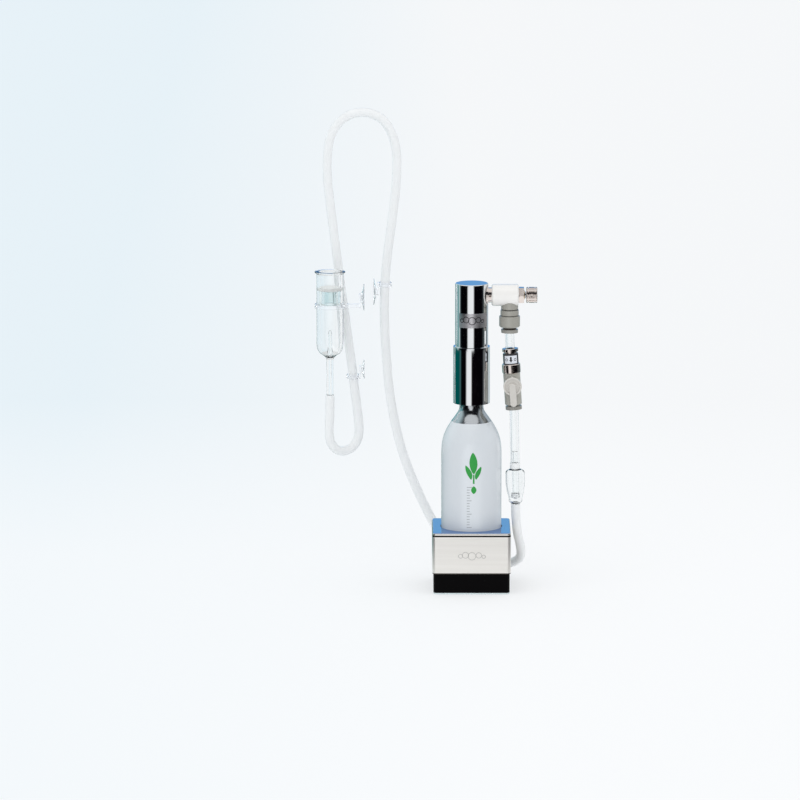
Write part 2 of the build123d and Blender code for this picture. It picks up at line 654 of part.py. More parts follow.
# ======================================================================== elbow ========
socket_r = TUBE_R + 0.06
groove_start = ELBOW_STOP + 3.2
elbow_groove_r = socket_r + 2 * RING_WIRE_R
chuck_start = groove_start + 2.0
chuck_room_r = ELBOW_R - 1.6
collet_bore_r = TUBE_R + 1.45
with BuildPart() as elbow_body:
    with BuildSketch(section_plane(elbow_frame)):
        with BuildLine():
            Polyline(
                (CROSS_PORT_R, ELBOW_SPIGOT_TOP - 0.2), (ELBOW_NECK_R, ELBOW_SPIGOT_TOP - 0.2),
                (ELBOW_NECK_R, ELBOW_NECK_END), (ELBOW_NECK_R - groove, ELBOW_NECK_END),
                (ELBOW_NECK_R - groove, ELBOW_NECK_END + groove),
                (ELBOW_MID_R, ELBOW_NECK_END + groove), (ELBOW_MID_R, ELBOW_MID_END),
                (ELBOW_R, ELBOW_MID_END + EDGE),
                (ELBOW_R, ELBOW_BOTTOM - 2 * EDGE), (ELBOW_R - 2 * EDGE, ELBOW_BOTTOM),
                (collet_bore_r, ELBOW_BOTTOM), (collet_bore_r, COLLET_TOP),
                (chuck_room_r, COLLET_TOP), (chuck_room_r, chuck_start),
                (elbow_groove_r, chuck_start), (elbow_groove_r, groove_start),
                (socket_r, groove_start), (socket_r, ELBOW_STOP), (CROSS_PORT_R, ELBOW_STOP),
                close=True,
            )
        make_face()
    revolve(axis=Axis(elbow_frame.origin, elbow_frame.z_dir))
    with BuildSketch(control_frame.offset(control_x)):
        Circle(CONTROL_R + SEAT_FIT)
    extrude(amount=2 * (control_end - control_x), mode=Mode.SUBTRACT)
    with BuildSketch(elbow_frame.offset(ELBOW_SPIGOT_TOP)):
        Circle(ELBOW_SPIGOT_R)
    extrude(amount=ELBOW_STOP - ELBOW_SPIGOT_TOP - 0.5)
    with BuildSketch(elbow_frame.offset(ELBOW_SPIGOT_TOP)):
        Circle(CROSS_PORT_R)
    extrude(amount=ELBOW_STOP, mode=Mode.SUBTRACT)
save(elbow_body, "elbow_body")



def tube_seal(frame, middle):
    """The rubber ring that seals on a pushed-in tube."""
    return o_ring(frame, TUBE_R + SEAT_FIT, TUBE_SEAL_WIRE_R, middle)


def tube_chuck(frame, low, outer_r):
    """The steel grip ring whose teeth hold a pushed-in tube."""
    with BuildPart() as chuck:
        with BuildSketch(frame.offset(low)):
            Circle(outer_r)
            Circle(TUBE_R + SEAT_FIT, mode=Mode.SUBTRACT)
            with PolarLocations(TUBE_R + 0.5, CHUCK_TEETH):
                Rectangle(1.2, 0.3, mode=Mode.SUBTRACT)
        extrude(amount=CHUCK_THICK)
    return chuck


def release_collet(frame, end, flange_low, flange_high, sleeve_r, flange_r, label):
    """The ring that is pushed in to let the tube go."""
    bore = TUBE_R + RUN_FIT
    collet = turned(frame, [
        (bore, end), (sleeve_r, end), (sleeve_r, flange_low), (flange_r, flange_low),
        (flange_r, flange_high), (bore, flange_high),
    ])
    save(collet, label)


elbow_seal = tube_seal(elbow_frame, groove_start + 1.0)
save(elbow_seal, "elbow_seal")
elbow_chuck = tube_chuck(elbow_frame, chuck_start + CHUCK_PLAY, chuck_room_r - SEAT_FIT)
save(elbow_chuck, "elbow_chuck")
elbow_chuck_end = chuck_start + CHUCK_PLAY + CHUCK_THICK
elbow_flange = ELBOW_BOTTOM + COLLET_PUSH + GAP
release_collet(
    elbow_frame, elbow_chuck_end + COLLET_PUSH + GAP, elbow_flange,
    elbow_flange + COLLET_FLANGE_THICK, collet_bore_r - RUN_FIT, COLLET_FLANGE_R, "elbow_collet",
)

# ===================================================================== ball valve ======
inlet_plug_r = CAVITY_R - SEAT_FIT
valve_groove_r = TUBE_R + 1.45
valve_chuck_r = TUBE_R + 1.6
valve_collet_bore = TUBE_R + 1.15
seal_room = 1.5
chuck_room = 1.4
top_groove = VALVE_STOP_TOP + 2.0
top_chuck = top_groove + seal_room
valve_inlet_barrel = turned(valve_frame, [
    (WAY_R, INLET_PLUG_LOW), (inlet_plug_r, INLET_PLUG_LOW), (inlet_plug_r, VALVE_TOP),
    (VALVE_INLET_R, VALVE_TOP), (VALVE_INLET_R, VALVE_INLET_TOP - EDGE),
    (VALVE_INLET_R - EDGE, VALVE_INLET_TOP), (valve_collet_bore, VALVE_INLET_TOP),
    (valve_collet_bore, top_chuck + chuck_room), (valve_chuck_r, top_chuck + chuck_room),
    (valve_chuck_r, top_chuck), (valve_groove_r, top_chuck), (valve_groove_r, top_groove),
    (socket_r, top_groove), (socket_r, VALVE_STOP_TOP), (WAY_R, VALVE_STOP_TOP),
])
save(valve_inlet_barrel, "valve_inlet_barrel")

ring_bore_r = VALVE_INLET_R + SEAT_FIT
valve_collar = turned(valve_frame, [
    (ring_bore_r, VALVE_TOP), (VALVE_RING_R - EDGE, VALVE_TOP), (VALVE_RING_R, VALVE_TOP + EDGE),
    (VALVE_RING_R, VALVE_RING_TOP - EDGE), (VALVE_RING_R - EDGE, VALVE_RING_TOP),
    (ring_bore_r, VALVE_RING_TOP),
])
save(valve_collar, "valve_collar")

front = Plane(origin=valve_frame.origin, x_dir=valve_frame.x_dir, z_dir=(0, -1, 0))
low_groove = VALVE_STOP_BOTTOM - 0.8
low_chuck = low_groove - seal_room
stem_ring_y = BOSS_REACH - 1.1
valve_stem_hole_r = VALVE_STEM_R + RUN_FIT
stem_ring_wire = 0.36
with BuildPart() as valve_body:
    with BuildSketch(valve_frame.offset(VALVE_BOTTOM)):
        Circle(VALVE_R)
    extrude(amount=VALVE_TOP - VALVE_BOTTOM)
    chamfer(valve_body.edges().filter_by(GeomType.CIRCLE), length=EDGE / 2)
    with BuildSketch(front):
        Circle(BOSS_R)
    extrude(amount=BOSS_REACH)
    with BuildSketch(section_plane(valve_frame)):
        with BuildLine():
            Polyline(
                (0, VALVE_BOTTOM), (valve_collet_bore, VALVE_BOTTOM),
                (valve_collet_bore, low_chuck - chuck_room), (valve_chuck_r, low_chuck - chuck_room),
                (valve_chuck_r, low_chuck), (valve_groove_r, low_chuck),
                (valve_groove_r, low_groove), (socket_r, low_groove),
                (socket_r, VALVE_STOP_BOTTOM), (WAY_R, VALVE_STOP_BOTTOM),
                (WAY_R, CAVITY_BOTTOM), (CAVITY_R, CAVITY_BOTTOM), (CAVITY_R, VALVE_TOP),
                (0, VALVE_TOP), close=True,
            )
        make_face()
    revolve(axis=Axis(valve_frame.origin, valve_frame.z_dir), mode=Mode.SUBTRACT)
    with BuildSketch(front):
        Circle(valve_stem_hole_r)
    extrude(amount=BOSS_REACH, mode=Mode.SUBTRACT)
    with BuildSketch(front.offset(stem_ring_y - stem_ring_wire - SEAT_FIT)):
        Circle(valve_stem_hole_r + 2 * stem_ring_wire)
    extrude(amount=2 * stem_ring_wire + 2 * SEAT_FIT, mode=Mode.SUBTRACT)
save(valve_body, "valve_body")

stem_seal = o_ring(front, VALVE_STEM_R + SEAT_FIT, stem_ring_wire - SEAT_FIT / 2, stem_ring_y)
save(stem_seal, "stem_seal")


def ball_seat(low, high, label):
    """A plastic seat ring with the ball's own hollow in it."""
    with BuildPart() as seat:
        with BuildSketch(valve_frame.offset(low)):
            Circle(inlet_plug_r)
            Circle(WAY_R, mode=Mode.SUBTRACT)
        extrude(amount=high - low)
        with Locations(valve_frame):
            Sphere(BALL_R + RUN_FIT, mode=Mode.SUBTRACT)
    save(seat, label)


ball_seat(2.6, INLET_PLUG_LOW, "upper_ball_seat")
ball_seat(CAVITY_BOTTOM, -2.6, "lower_ball_seat")

with BuildPart() as valve_ball:
    with Locations(valve_frame):
        Sphere(BALL_R)
        Cylinder(WAY_R, 3 * BALL_R, mode=Mode.SUBTRACT)
    with Locations(front):
        with Locations((0, 0, BALL_R)):
            Box(TANG_WIDTH, 2 * BALL_R, 2 * TANG_DEPTH, mode=Mode.SUBTRACT)
save(valve_ball, "valve_ball")

handle_y = BOSS_REACH + GAP
stem_end_y = handle_y + HANDLE_THICK / 2
with BuildPart() as valve_stem:
    with BuildSketch(front.offset(BALL_R + SEAT_FIT)):
        Circle(VALVE_STEM_R)
    extrude(amount=stem_end_y - BALL_R - SEAT_FIT)
    with BuildSketch(front.offset(BALL_R - TANG_DEPTH + SEAT_FIT)):
        Rectangle(TANG_WIDTH - 2 * SEAT_FIT, 2 * VALVE_STEM_R - 0.8)
    extrude(amount=TANG_DEPTH)
save(valve_stem, "valve_stem")

disc_y = handle_y + HANDLE_DISC_THICK
with BuildPart() as valve_handle:
    with BuildSketch(front.offset(handle_y)):
        Circle(HANDLE_R)
        Polygon((-1.0, HANDLE_R - EDGE), (1.0, HANDLE_R - EDGE), (0, HANDLE_R + 1.1),
                align=None)
    extrude(amount=HANDLE_DISC_THICK)
    with BuildSketch(front.offset(disc_y)):
        Circle(HANDLE_R - 1.1)
        Circle(HANDLE_WIDTH / 2 + HANDLE_GROOVE, mode=Mode.SUBTRACT)
    extrude(amount=-HANDLE_GROOVE, mode=Mode.SUBTRACT)
    with BuildSketch(front.offset(handle_y)):
        with Locations((0, -HANDLE_LENGTH / 2 + HANDLE_WIDTH / 4)):
            SlotOverall(HANDLE_LENGTH + HANDLE_WIDTH / 2, HANDLE_WIDTH, rotation=90)
    extrude(amount=HANDLE_THICK)
    fillet(valve_handle.faces().sort_by(Axis.Y)[0].edges(), radius=HANDLE_GROOVE)
    with BuildSketch(front.offset(handle_y)):
        Circle(VALVE_STEM_R + SEAT_FIT)
    extrude(amount=stem_end_y - handle_y + SEAT_FIT, mode=Mode.SUBTRACT)
save(valve_handle, "valve_handle")

upper_tube_seal = tube_seal(valve_frame, top_groove + seal_room / 2)
lower_tube_seal = tube_seal(valve_frame, low_groove - seal_room / 2)
with BuildPart() as valve_tube_seals:
    add(upper_tube_seal.part)
    add(lower_tube_seal.part)
save(valve_tube_seals, "valve_tube_seals")

small_chuck_r = valve_chuck_r - SEAT_FIT
upper_chuck = tube_chuck(valve_frame, top_chuck + CHUCK_PLAY, small_chuck_r)
lower_chuck = tube_chuck(valve_frame, low_chuck - CHUCK_PLAY - CHUCK_THICK, small_chuck_r)
with BuildPart() as valve_chucks:
    add(upper_chuck.part)
    add(lower_chuck.part)
save(valve_chucks, "valve_chucks")

chuck_depth = CHUCK_PLAY + CHUCK_THICK
small_sleeve_r = valve_collet_bore - RUN_FIT
inlet_flange = VALVE_INLET_TOP + SMALL_PUSH + GAP
release_collet(
    valve_frame, top_chuck + chuck_depth + SMALL_PUSH + GAP, inlet_flange, inlet_flange + 1.9,
    small_sleeve_r, VALVE_INLET_R + 0.2, "valve_inlet_collet",
)
outlet_flange = VALVE_BOTTOM - SMALL_PUSH - GAP
release_collet(
    valve_frame, low_chuck - chuck_depth - SMALL_PUSH - GAP, outlet_flange, outlet_flange - 2.3,
    small_sleeve_r, VALVE_R - 0.2, "valve_outlet_collet",
)

# ================================================================ pressure tubes =======
tube_stop = 0.05
upper_points = [
    along(elbow_frame, ELBOW_STOP + tube_stop), upper_bend,
    along(valve_frame, VALVE_STOP_TOP + tube_stop),
]
pressure_tube_upper = tube_along(upper_points, [BEND_RADIUS])
save(pressure_tube_upper, "pressure_tube_upper")

lower_points = [
    along(valve_frame, VALVE_STOP_BOTTOM - tube_stop), lower_bend,
    along(check_frame, SLEEVE_LENGTH + tube_stop),
]
pressure_tube_lower = tube_along(lower_points, [BEND_RADIUS])
save(pressure_tube_lower, "pressure_tube_lower")

# =================================================================== check valve =======
tube_sleeve = ring(
    check_frame, TUBE_BORE_R, TUBE_BORE_R + SLEEVE_WALL, tube_stop, SLEEVE_LENGTH
)
save(tube_sleeve, "tube_sleeve")


def check_section(inset, top_r, top, bottom_r, bottom):
    """Half section of the check valve's glass, its wall drawn in by an inset."""
    wide = CHECK_R - inset
    narrow = CHECK_TAPER_R - inset
    shoulder = -inset
    foot = -CHECK_LENGTH + inset
    with BuildLine() as half:
        Polyline((0, top), (top_r, top), (top_r, shoulder))
        Spline((top_r, shoulder), (wide - 1.2, -1.1), (wide, -3.4),
               tangents=[(1, 0), (0, -1)])
        Line((wide, -3.4), (wide, -CHECK_WAIST))
        Spline((wide, -CHECK_WAIST), (narrow + 0.4, -CHECK_TAPER_END + 2.5),
               (narrow, -CHECK_TAPER_END), tangents=[(0, -1), (0, -1)])
        Spline((narrow, -CHECK_TAPER_END), (bottom_r, foot), tangents=[(0, -1), (-1, 0)])
        Polyline((bottom_r, foot), (bottom_r, bottom), (0, bottom), (0, top))
    return half


check_axis = Axis(check_frame.origin, check_frame.z_dir)
with BuildPart() as check_valve_glass:
    with BuildSketch(section_plane(check_frame)):
        add(check_section(0, NIPPLE_R, NIPPLE_LENGTH + SLEEVE_LENGTH,
                          OUTLET_NIPPLE_R, -CHECK_LENGTH - NIPPLE_LENGTH))
        make_face()
    revolve(axis=check_axis)
    with BuildSketch(section_plane(check_frame)):
        add(check_section(CHECK_WALL, GLASS_BORE_R, NIPPLE_LENGTH + SLEEVE_LENGTH,
                          GLASS_BORE_R, -CHECK_LENGTH - NIPPLE_LENGTH))
        make_face()
    revolve(axis=check_axis, mode=Mode.SUBTRACT)
save(check_valve_glass, "check_valve_glass")

inner_low = -INNER_TUBE_END
check_valve_inner = ring(
    check_frame, INNER_TUBE_BORE_R, INNER_TUBE_R, inner_low, -CHECK_WALL - SEAT_FIT
)
save(check_valve_inner, "check_valve_inner")

check_valve_seal = turned(check_frame, [
    (INNER_TUBE_R, inner_low + 2.4), (INNER_TUBE_R + CAP_WALL, inner_low + 2.4),
    (INNER_TUBE_R + CAP_WALL, inner_low - 0.3), (SLIT_R, inner_low - 1.6),
    (SLIT_R, inner_low), (INNER_TUBE_R, inner_low),
])
save(check_valve_seal, "check_valve_seal")

# ====================================================================== diffuser =======
nozzle_foot = BULB_BOTTOM + GLASS_WALL
inner_r = GLASS_R - GLASS_WALL
chamber_end = DISC_TOP - DISC_THICK - GLASS_SEAT_HEIGHT
with BuildPart() as diffuser_glass:
    with BuildSketch(section_plane(diffuser_frame)):
        with BuildLine():
            Polyline((inner_r, DIFFUSER_TOP), (RIM_R - 0.4, DIFFUSER_TOP))
            Spline((RIM_R - 0.4, DIFFUSER_TOP), (RIM_R, DIFFUSER_TOP - 0.6),
                   (GLASS_R, DIFFUSER_TOP - RIM_HEIGHT), tangents=[(1, 0), (0, -1)])
            Line((GLASS_R, DIFFUSER_TOP - RIM_HEIGHT), (GLASS_R, BULB_SHOULDER))
            Spline((GLASS_R, BULB_SHOULDER), (GLASS_R * 0.72, BULB_BOTTOM + 2.6),
                   (STEM_GLASS_R, BULB_BOTTOM - 2.5), tangents=[(0, -1), (0, -1)])
            Polyline((STEM_GLASS_R, BULB_BOTTOM - 2.5), (STEM_GLASS_R, TUBE_JOINT_Z),
                     (NIPPLE_R, TUBE_JOINT_Z), (NIPPLE_R, TUBE_JOINT_Z - JOINT_NIPPLE),
                     (STEM_GLASS_BORE_R, TUBE_JOINT_Z - JOINT_NIPPLE),
                     (STEM_GLASS_BORE_R, nozzle_foot), (STEM_GLASS_R + 0.6, nozzle_foot))
            Spline((STEM_GLASS_R + 0.6, nozzle_foot), (inner_r * 0.8, nozzle_foot + 2.2),
                   (inner_r, BULB_SHOULDER), tangents=[(1, 0), (0, 1)])
            Line((inner_r, BULB_SHOULDER), (inner_r, DIFFUSER_TOP))
        make_face()
    revolve(axis=Axis(diffuser_frame.origin, diffuser_frame.z_dir))
save(diffuser_glass, "diffuser_glass")

disc_base = DISC_TOP - DISC_THICK
diffuser_disc = ring(diffuser_frame, 0, inner_r - SEAT_FIT, disc_base, DISC_TOP)
save(diffuser_disc, "diffuser_disc")

diffuser_seat = ring(
    diffuser_frame, GLASS_SEAT_BORE_R, inner_r - SEAT_FIT, chamber_end, disc_base
)
save(diffuser_seat, "diffuser_seat")

diffuser_nozzle = turned(diffuser_frame, [
    (STEM_GLASS_BORE_R, nozzle_foot), (STEM_GLASS_R, nozzle_foot),
    (NOZZLE_R, nozzle_foot + 4.5), (NOZZLE_R, NOZZLE_TIP - 3), (0.7, NOZZLE_TIP),
    (0.35, NOZZLE_TIP), (STEM_GLASS_BORE_R, NOZZLE_TIP - 2.5),
])
save(diffuser_nozzle, "diffuser_nozzle")


# ================================================================== suction clips ======


def suction_cup(face_x, side, centre_y, centre_z, radius, label):
    """A cup pressed flat on the pane, its back towards side (+1 or -1 along X)."""
    frame = Plane(origin=(face_x, centre_y, centre_z), x_dir=(0, 1, 0), z_dir=(side, 0, 0))
    neck = radius * 0.28
    cup = turned(frame, [
        (0, 0), (radius, 0), (radius - 0.2, 0.5), (radius * 0.55, 1.2), (neck, CUP_DEPTH - 0.9),
        (neck, CUP_DEPTH - 0.4), (0, CUP_DEPTH - 0.4),
    ])
    save(cup, label)


def clip_ring(centre, bore, height, plate_x, plate_z, side, label):
    """A ring round a tube or glass, with the plate that its suction cup holds."""
    outer = bore + CLIP_WALL
    x, y, z = centre
    low = min(z - height / 2, plate_z - 2.2)
    high = max(z + height / 2, plate_z + 2.2)
    arm_end = plate_x + side * CLIP_WALL
    with BuildPart() as clip:
        with BuildSketch(Plane.XY.offset(z - height / 2)):
            with Locations((x, y)):
                Circle(outer)
            with Locations(((x + arm_end) / 2, y)):
                Rectangle(abs(x - arm_end), 2 * CLIP_WALL)
            with Locations((x, y)):
                Circle(bore, mode=Mode.SUBTRACT)
        extrude(amount=height)
        with BuildSketch(Plane.XY.offset(low)):
            with Locations(((plate_x + arm_end) / 2, y)):
                Rectangle(CLIP_WALL, 4.4)
        extrude(amount=high - low)
        with BuildSketch(Plane.XY.offset(z - height)):
            with Locations((x, y)):
                Circle(bore)
        extrude(amount=2 * height, mode=Mode.SUBTRACT)
    save(clip, label)


def run_middle(run):
    """The middle of one run of the silicone tube's route."""
    start, end = Vector(*ROUTE[run]), Vector(*ROUTE[run + 1])
    return (start + end) * 0.5


outer_hold = run_middle(OUTER_CLIP_RUN)
inner_hold = run_middle(INNER_CLIP_RUN)
suction_cup(PANE_OUTER_X, 1, outer_hold.Y, outer_hold.Z - TUBE_CUP_SHIFT, CUP_R, "outer_clip_cup")
clip_ring(
    tuple(outer_hold), TUBE_R + CLIP_FIT, TUBE_CLIP_HEIGHT, PANE_OUTER_X + CUP_DEPTH - 0.4,
    outer_hold.Z - TUBE_CUP_SHIFT, 1, "outer_clip_ring",
)
suction_cup(pane_inner_x, -1, inner_hold.Y, inner_hold.Z + TUBE_CUP_SHIFT, SMALL_CUP_R, "tube_clip_cup")
clip_ring(
    tuple(inner_hold), TUBE_R + CLIP_FIT, TUBE_CLIP_HEIGHT, pane_inner_x - CUP_DEPTH + 0.4,
    inner_hold.Z + TUBE_CUP_SHIFT, -1, "tube_clip_ring",
)
suction_cup(pane_inner_x, -1, DIFFUSER_Y, DIFFUSER_CUP_Z, CUP_R, "diffuser_clip_cup")
clip_ring(
    (DIFFUSER_X, DIFFUSER_Y, DIFFUSER_CLIP_Z), GLASS_R + SEAT_FIT, TUBE_CLIP_HEIGHT,
    pane_inner_x - CUP_DEPTH + 0.4, DIFFUSER_CUP_Z, -1, "diffuser_clip_ring",
)


# ================================================================== silicone tube ======
def corner_radii(points):
    """Each corner's arc: 0.45 of its shorter run over the tangent of half its turn."""
    radii = []
    for before, here, after in zip(points, points[1:], points[2:]):
        run_in = Vector(*here) - Vector(*before)
        run_out = Vector(*after) - Vector(*here)
        half_turn = radians(run_in.get_angle(run_out)) / 2
        radii.append(0.45 * min(run_in.length, run_out.length) / tan(half_turn))
    return radii


tube_radii = corner_radii(ROUTE)
silicone_tube = tube_along(ROUTE, tube_radii)
save(silicone_tube, "silicone_tube")
runs = [(Vector(*b) - Vector(*a)).length for a, b in zip(ROUTE, ROUTE[1:])]
print("runs", [round(r, 1) for r in runs])
print("radii", [round(r, 1) for r in tube_radii])
tube_section = pi * (TUBE_R ** 2 - TUBE_BORE_R ** 2)
print("tube length", round(silicone_tube.part.volume / tube_section, 1))
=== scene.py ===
import json
import math

import bmesh
import bpy
from mathutils import Matrix, Vector


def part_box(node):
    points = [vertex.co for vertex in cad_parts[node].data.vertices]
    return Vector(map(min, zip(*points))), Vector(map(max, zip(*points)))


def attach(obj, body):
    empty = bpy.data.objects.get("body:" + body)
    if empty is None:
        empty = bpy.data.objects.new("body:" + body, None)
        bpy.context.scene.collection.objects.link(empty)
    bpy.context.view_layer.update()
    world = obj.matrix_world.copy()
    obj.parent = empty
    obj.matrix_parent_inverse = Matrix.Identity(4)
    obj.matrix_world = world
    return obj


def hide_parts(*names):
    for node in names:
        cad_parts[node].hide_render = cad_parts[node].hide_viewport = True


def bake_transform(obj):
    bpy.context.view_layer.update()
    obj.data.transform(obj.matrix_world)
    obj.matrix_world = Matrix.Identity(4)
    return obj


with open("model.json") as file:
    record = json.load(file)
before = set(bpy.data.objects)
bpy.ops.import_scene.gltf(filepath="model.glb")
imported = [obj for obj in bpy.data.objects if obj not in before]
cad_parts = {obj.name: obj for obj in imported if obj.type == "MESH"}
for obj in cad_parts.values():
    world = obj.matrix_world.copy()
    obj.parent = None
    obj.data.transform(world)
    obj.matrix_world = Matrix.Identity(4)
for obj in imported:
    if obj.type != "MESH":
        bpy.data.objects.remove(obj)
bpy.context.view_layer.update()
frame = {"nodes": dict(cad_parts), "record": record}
NODES = frame["nodes"]
RECORD = frame["record"]
MM = 0.001

# Camera: a long lens, level with the tops of the fittings.
AIM = Vector((-0.0474, 0, 0.1264))
CAMERA_ELEVATION = math.radians(10.3)
CAMERA_DISTANCE = 4.0
CAMERA_LENS = 271.5

# Studio.
RING_RADIUS = 0.6
RING_TOP = 0.9
CARD_SIDES = 180
APRON_RADIUS = 0.12  # inner, of the part of the card that lies on the floor
APRON_HEIGHT = 0.0005
TIER_BLUR = 0.0005
LOW_TIER_TOP = 0.0594  # seen in the sleeve; above it is seen in the barrel
HIGH_TIER_BOTTOM = 0.11  # seen in the stand's top
SKY_TIER_BOTTOM = 0.24  # seen in the barrel's top
FLOOR_SIZE = 15
FLOOR_GLOW = 1.39
WORLD_STRENGTH = 0.8

# Silicone tube.
TUBE_OUTER = 3.0 * MM
TUBE_INNER = 2.0 * MM
TUBE_SIDES = 28
ROUTE_MM = [
    (29.45, 0, 56.3), (29.78, 0, 39.3), (34.0, 13.0, 22.0), (32.8, 34.0, 10.5),
    (16.0, 47.0, 2.8), (-6.0, 50.0, 6.0), (-21.5, 53.0, 26.0), (-35.2, 57.5, 52.5),
    (-46.8, 61.5, 81.0), (-54.3, 66.0, 116.0), (-57.2, 69.5, 150.0), (-58.2, 71.6, 179.0),
    (-56.8, 72.4, 206.0), (-52.8, 72.6, 235.0), (-49.4, 72.0, 263.0), (-49.6, 71.4, 289.0),
    (-59.0, 71.2, 307.0), (-79.0, 71.0, 310.6), (-94.2, 71.6, 297.0), (-97.0, 72.6, 271.0),
    (-93.4, 73.6, 240.0), (-89.4, 73.8, 208.0), (-85.2, 73.6, 176.0), (-80.6, 73.0, 143.0),
    (-77.4, 72.4, 116.0), (-75.1, 71.5, 98.4), (-74.8, 71.0, 87.6), (-80.5, 67.3, 80.1),
    (-88.8, 61.8, 79.6), (-94.6, 58.1, 86.4), (-95.2, 57.8, 97.0), (-94.4, 58.0, 107.6),
    (-94.4, 58.0, 119.3),
]

# Places on the frame.
BOTTLE_R = 20.0 * MM
BARE_NECK_Z = 0.1124  # the paint ends here
BARREL_R = 10.9 * MM
COVER_TOP_Z = 0.0414
COVER_BEND_Z = 0.0400
COVER_FRONT_Y = -0.026
BAND_BOTTOM_Z = 0.1764
BAND_TOP_Z = 0.1860
VALVE_BARREL_R = 5.1 * MM
DECAL_THICKNESS = 0.04 * MM
STICKER_THICKNESS = 0.03 * MM
PRINT_THICKNESS = 0.02 * MM
BAND_THICKNESS = 0.015 * MM
ETCH_THICKNESS = 0.012 * MM
FUSED_DEPTH = 0.35 * MM
DISC_SIDES = 96


def srgb(red, green, blue):
    """A colour of 0 to 255 a channel, as the shader's linear values."""

    def linear(value):
        value /= 255
        return value / 12.92 if value <= 0.04045 else ((value + 0.055) / 1.055) ** 2.4

    return (linear(red), linear(green), linear(blue), 1)


# Camera and cord ---------------------------------------------------------------------------


def make_camera():
    data = bpy.data.cameras.new("camera")
    data.lens = CAMERA_LENS
    data.clip_end = 50
    camera = bpy.data.objects.new("camera", data)
    back = Vector((0, -math.cos(CAMERA_ELEVATION), math.sin(CAMERA_ELEVATION)))
    camera.location = AIM + back * CAMERA_DISTANCE
    camera.rotation_euler = (math.pi / 2 - CAMERA_ELEVATION, 0, 0)
    bpy.context.collection.objects.link(camera)
    bpy.context.scene.camera = camera


def spline_points(route):
    """Points along the smooth line that has the route as its control points."""
    curve = bpy.data.curves.new("route_line", "CURVE")
    curve.dimensions = "3D"
    curve.resolution_u = 10
    spline = curve.splines.new("NURBS")
    spline.points.add(len(route) - 1)
    for point, place in zip(spline.points, route):
        point.co = (*place, 1)
    spline.order_u = 3
    spline.use_endpoint_u = True
    holder = bpy.data.objects.new("route_line", curve)
    bpy.context.collection.objects.link(holder)
    mesh = bpy.data.meshes.new_from_object(holder)
    points = [vertex.co.copy() for vertex in mesh.vertices]
    bpy.data.objects.remove(holder)
    bpy.data.meshes.remove(mesh)
    return points


def cross_sections(line):
    """The tangent and two normals at each point of a line, turning no more than the line does."""
    sections = []
    normal = Vector((1, 0, 0))
    for index, point in enumerate(line):
        before = line[max(index - 1, 0)]
        after = line[min(index + 1, len(line) - 1)]
        tangent = (after - before).normalized()
        normal = (normal - tangent * normal.dot(tangent)).normalized()
        sections.append((point, normal.copy(), tangent.cross(normal)))
    return sections


def piece(name, bm, material):
    """An object made from a bmesh."""
    bmesh.ops.recalc_face_normals(bm, faces=bm.faces)
    mesh = bpy.data.meshes.new(name)
    bm.to_mesh(mesh)
    bm.free()
    mesh.materials.append(material)
    made = bpy.data.objects.new(name, mesh)
    bpy.context.collection.objects.link(made)
    return made


def smooth(made):
    for polygon in made.data.polygons:
        polygon.use_smooth = True
    return made


def bridge(bm, first, second):
    """Quads between two closed loops of the same number of vertices."""
    count = len(first)
    for side in range(count):
        after = (side + 1) % count
        bm.faces.new((first[side], first[after], second[after], second[side]))


def hollow_tube(name, line, outer, inner, material):
    """A tube with a bore that follows a line, its cut ends flat."""
    bm = bmesh.new()
    sections = cross_sections(line)
    angles = [2 * math.pi * side / TUBE_SIDES for side in range(TUBE_SIDES)]

    def loop(section, radius):
        point, across, over = section
        spokes = [across * math.cos(angle) + over * math.sin(angle) for angle in angles]
        return [bm.verts.new(point + spoke * radius) for spoke in spokes]

    outside = [loop(section, outer) for section in sections]
    inside = [loop(section, inner) for section in sections]
    for shell in (outside, inside):
        for first, second in zip(shell, shell[1:]):
            bridge(bm, first, second)
    bridge(bm, outside[0], inside[0])
    bridge(bm, outside[-1], inside[-1])
    made = smooth(piece(name, bm, material))
    split = made.modifiers.new("cut_ends", "EDGE_SPLIT")
    split.split_angle = math.radians(60)
    return made


def make_silicone_tube(material):
    route = [Vector(place) * MM for place in ROUTE_MM]
    line = spline_points(route)
    tube = hollow_tube("silicone_hose", line, TUBE_OUTER, TUBE_INNER, material)
    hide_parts("silicone_tube")
    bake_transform(tube)


# Materials ---------------------------------------------------------------------------------


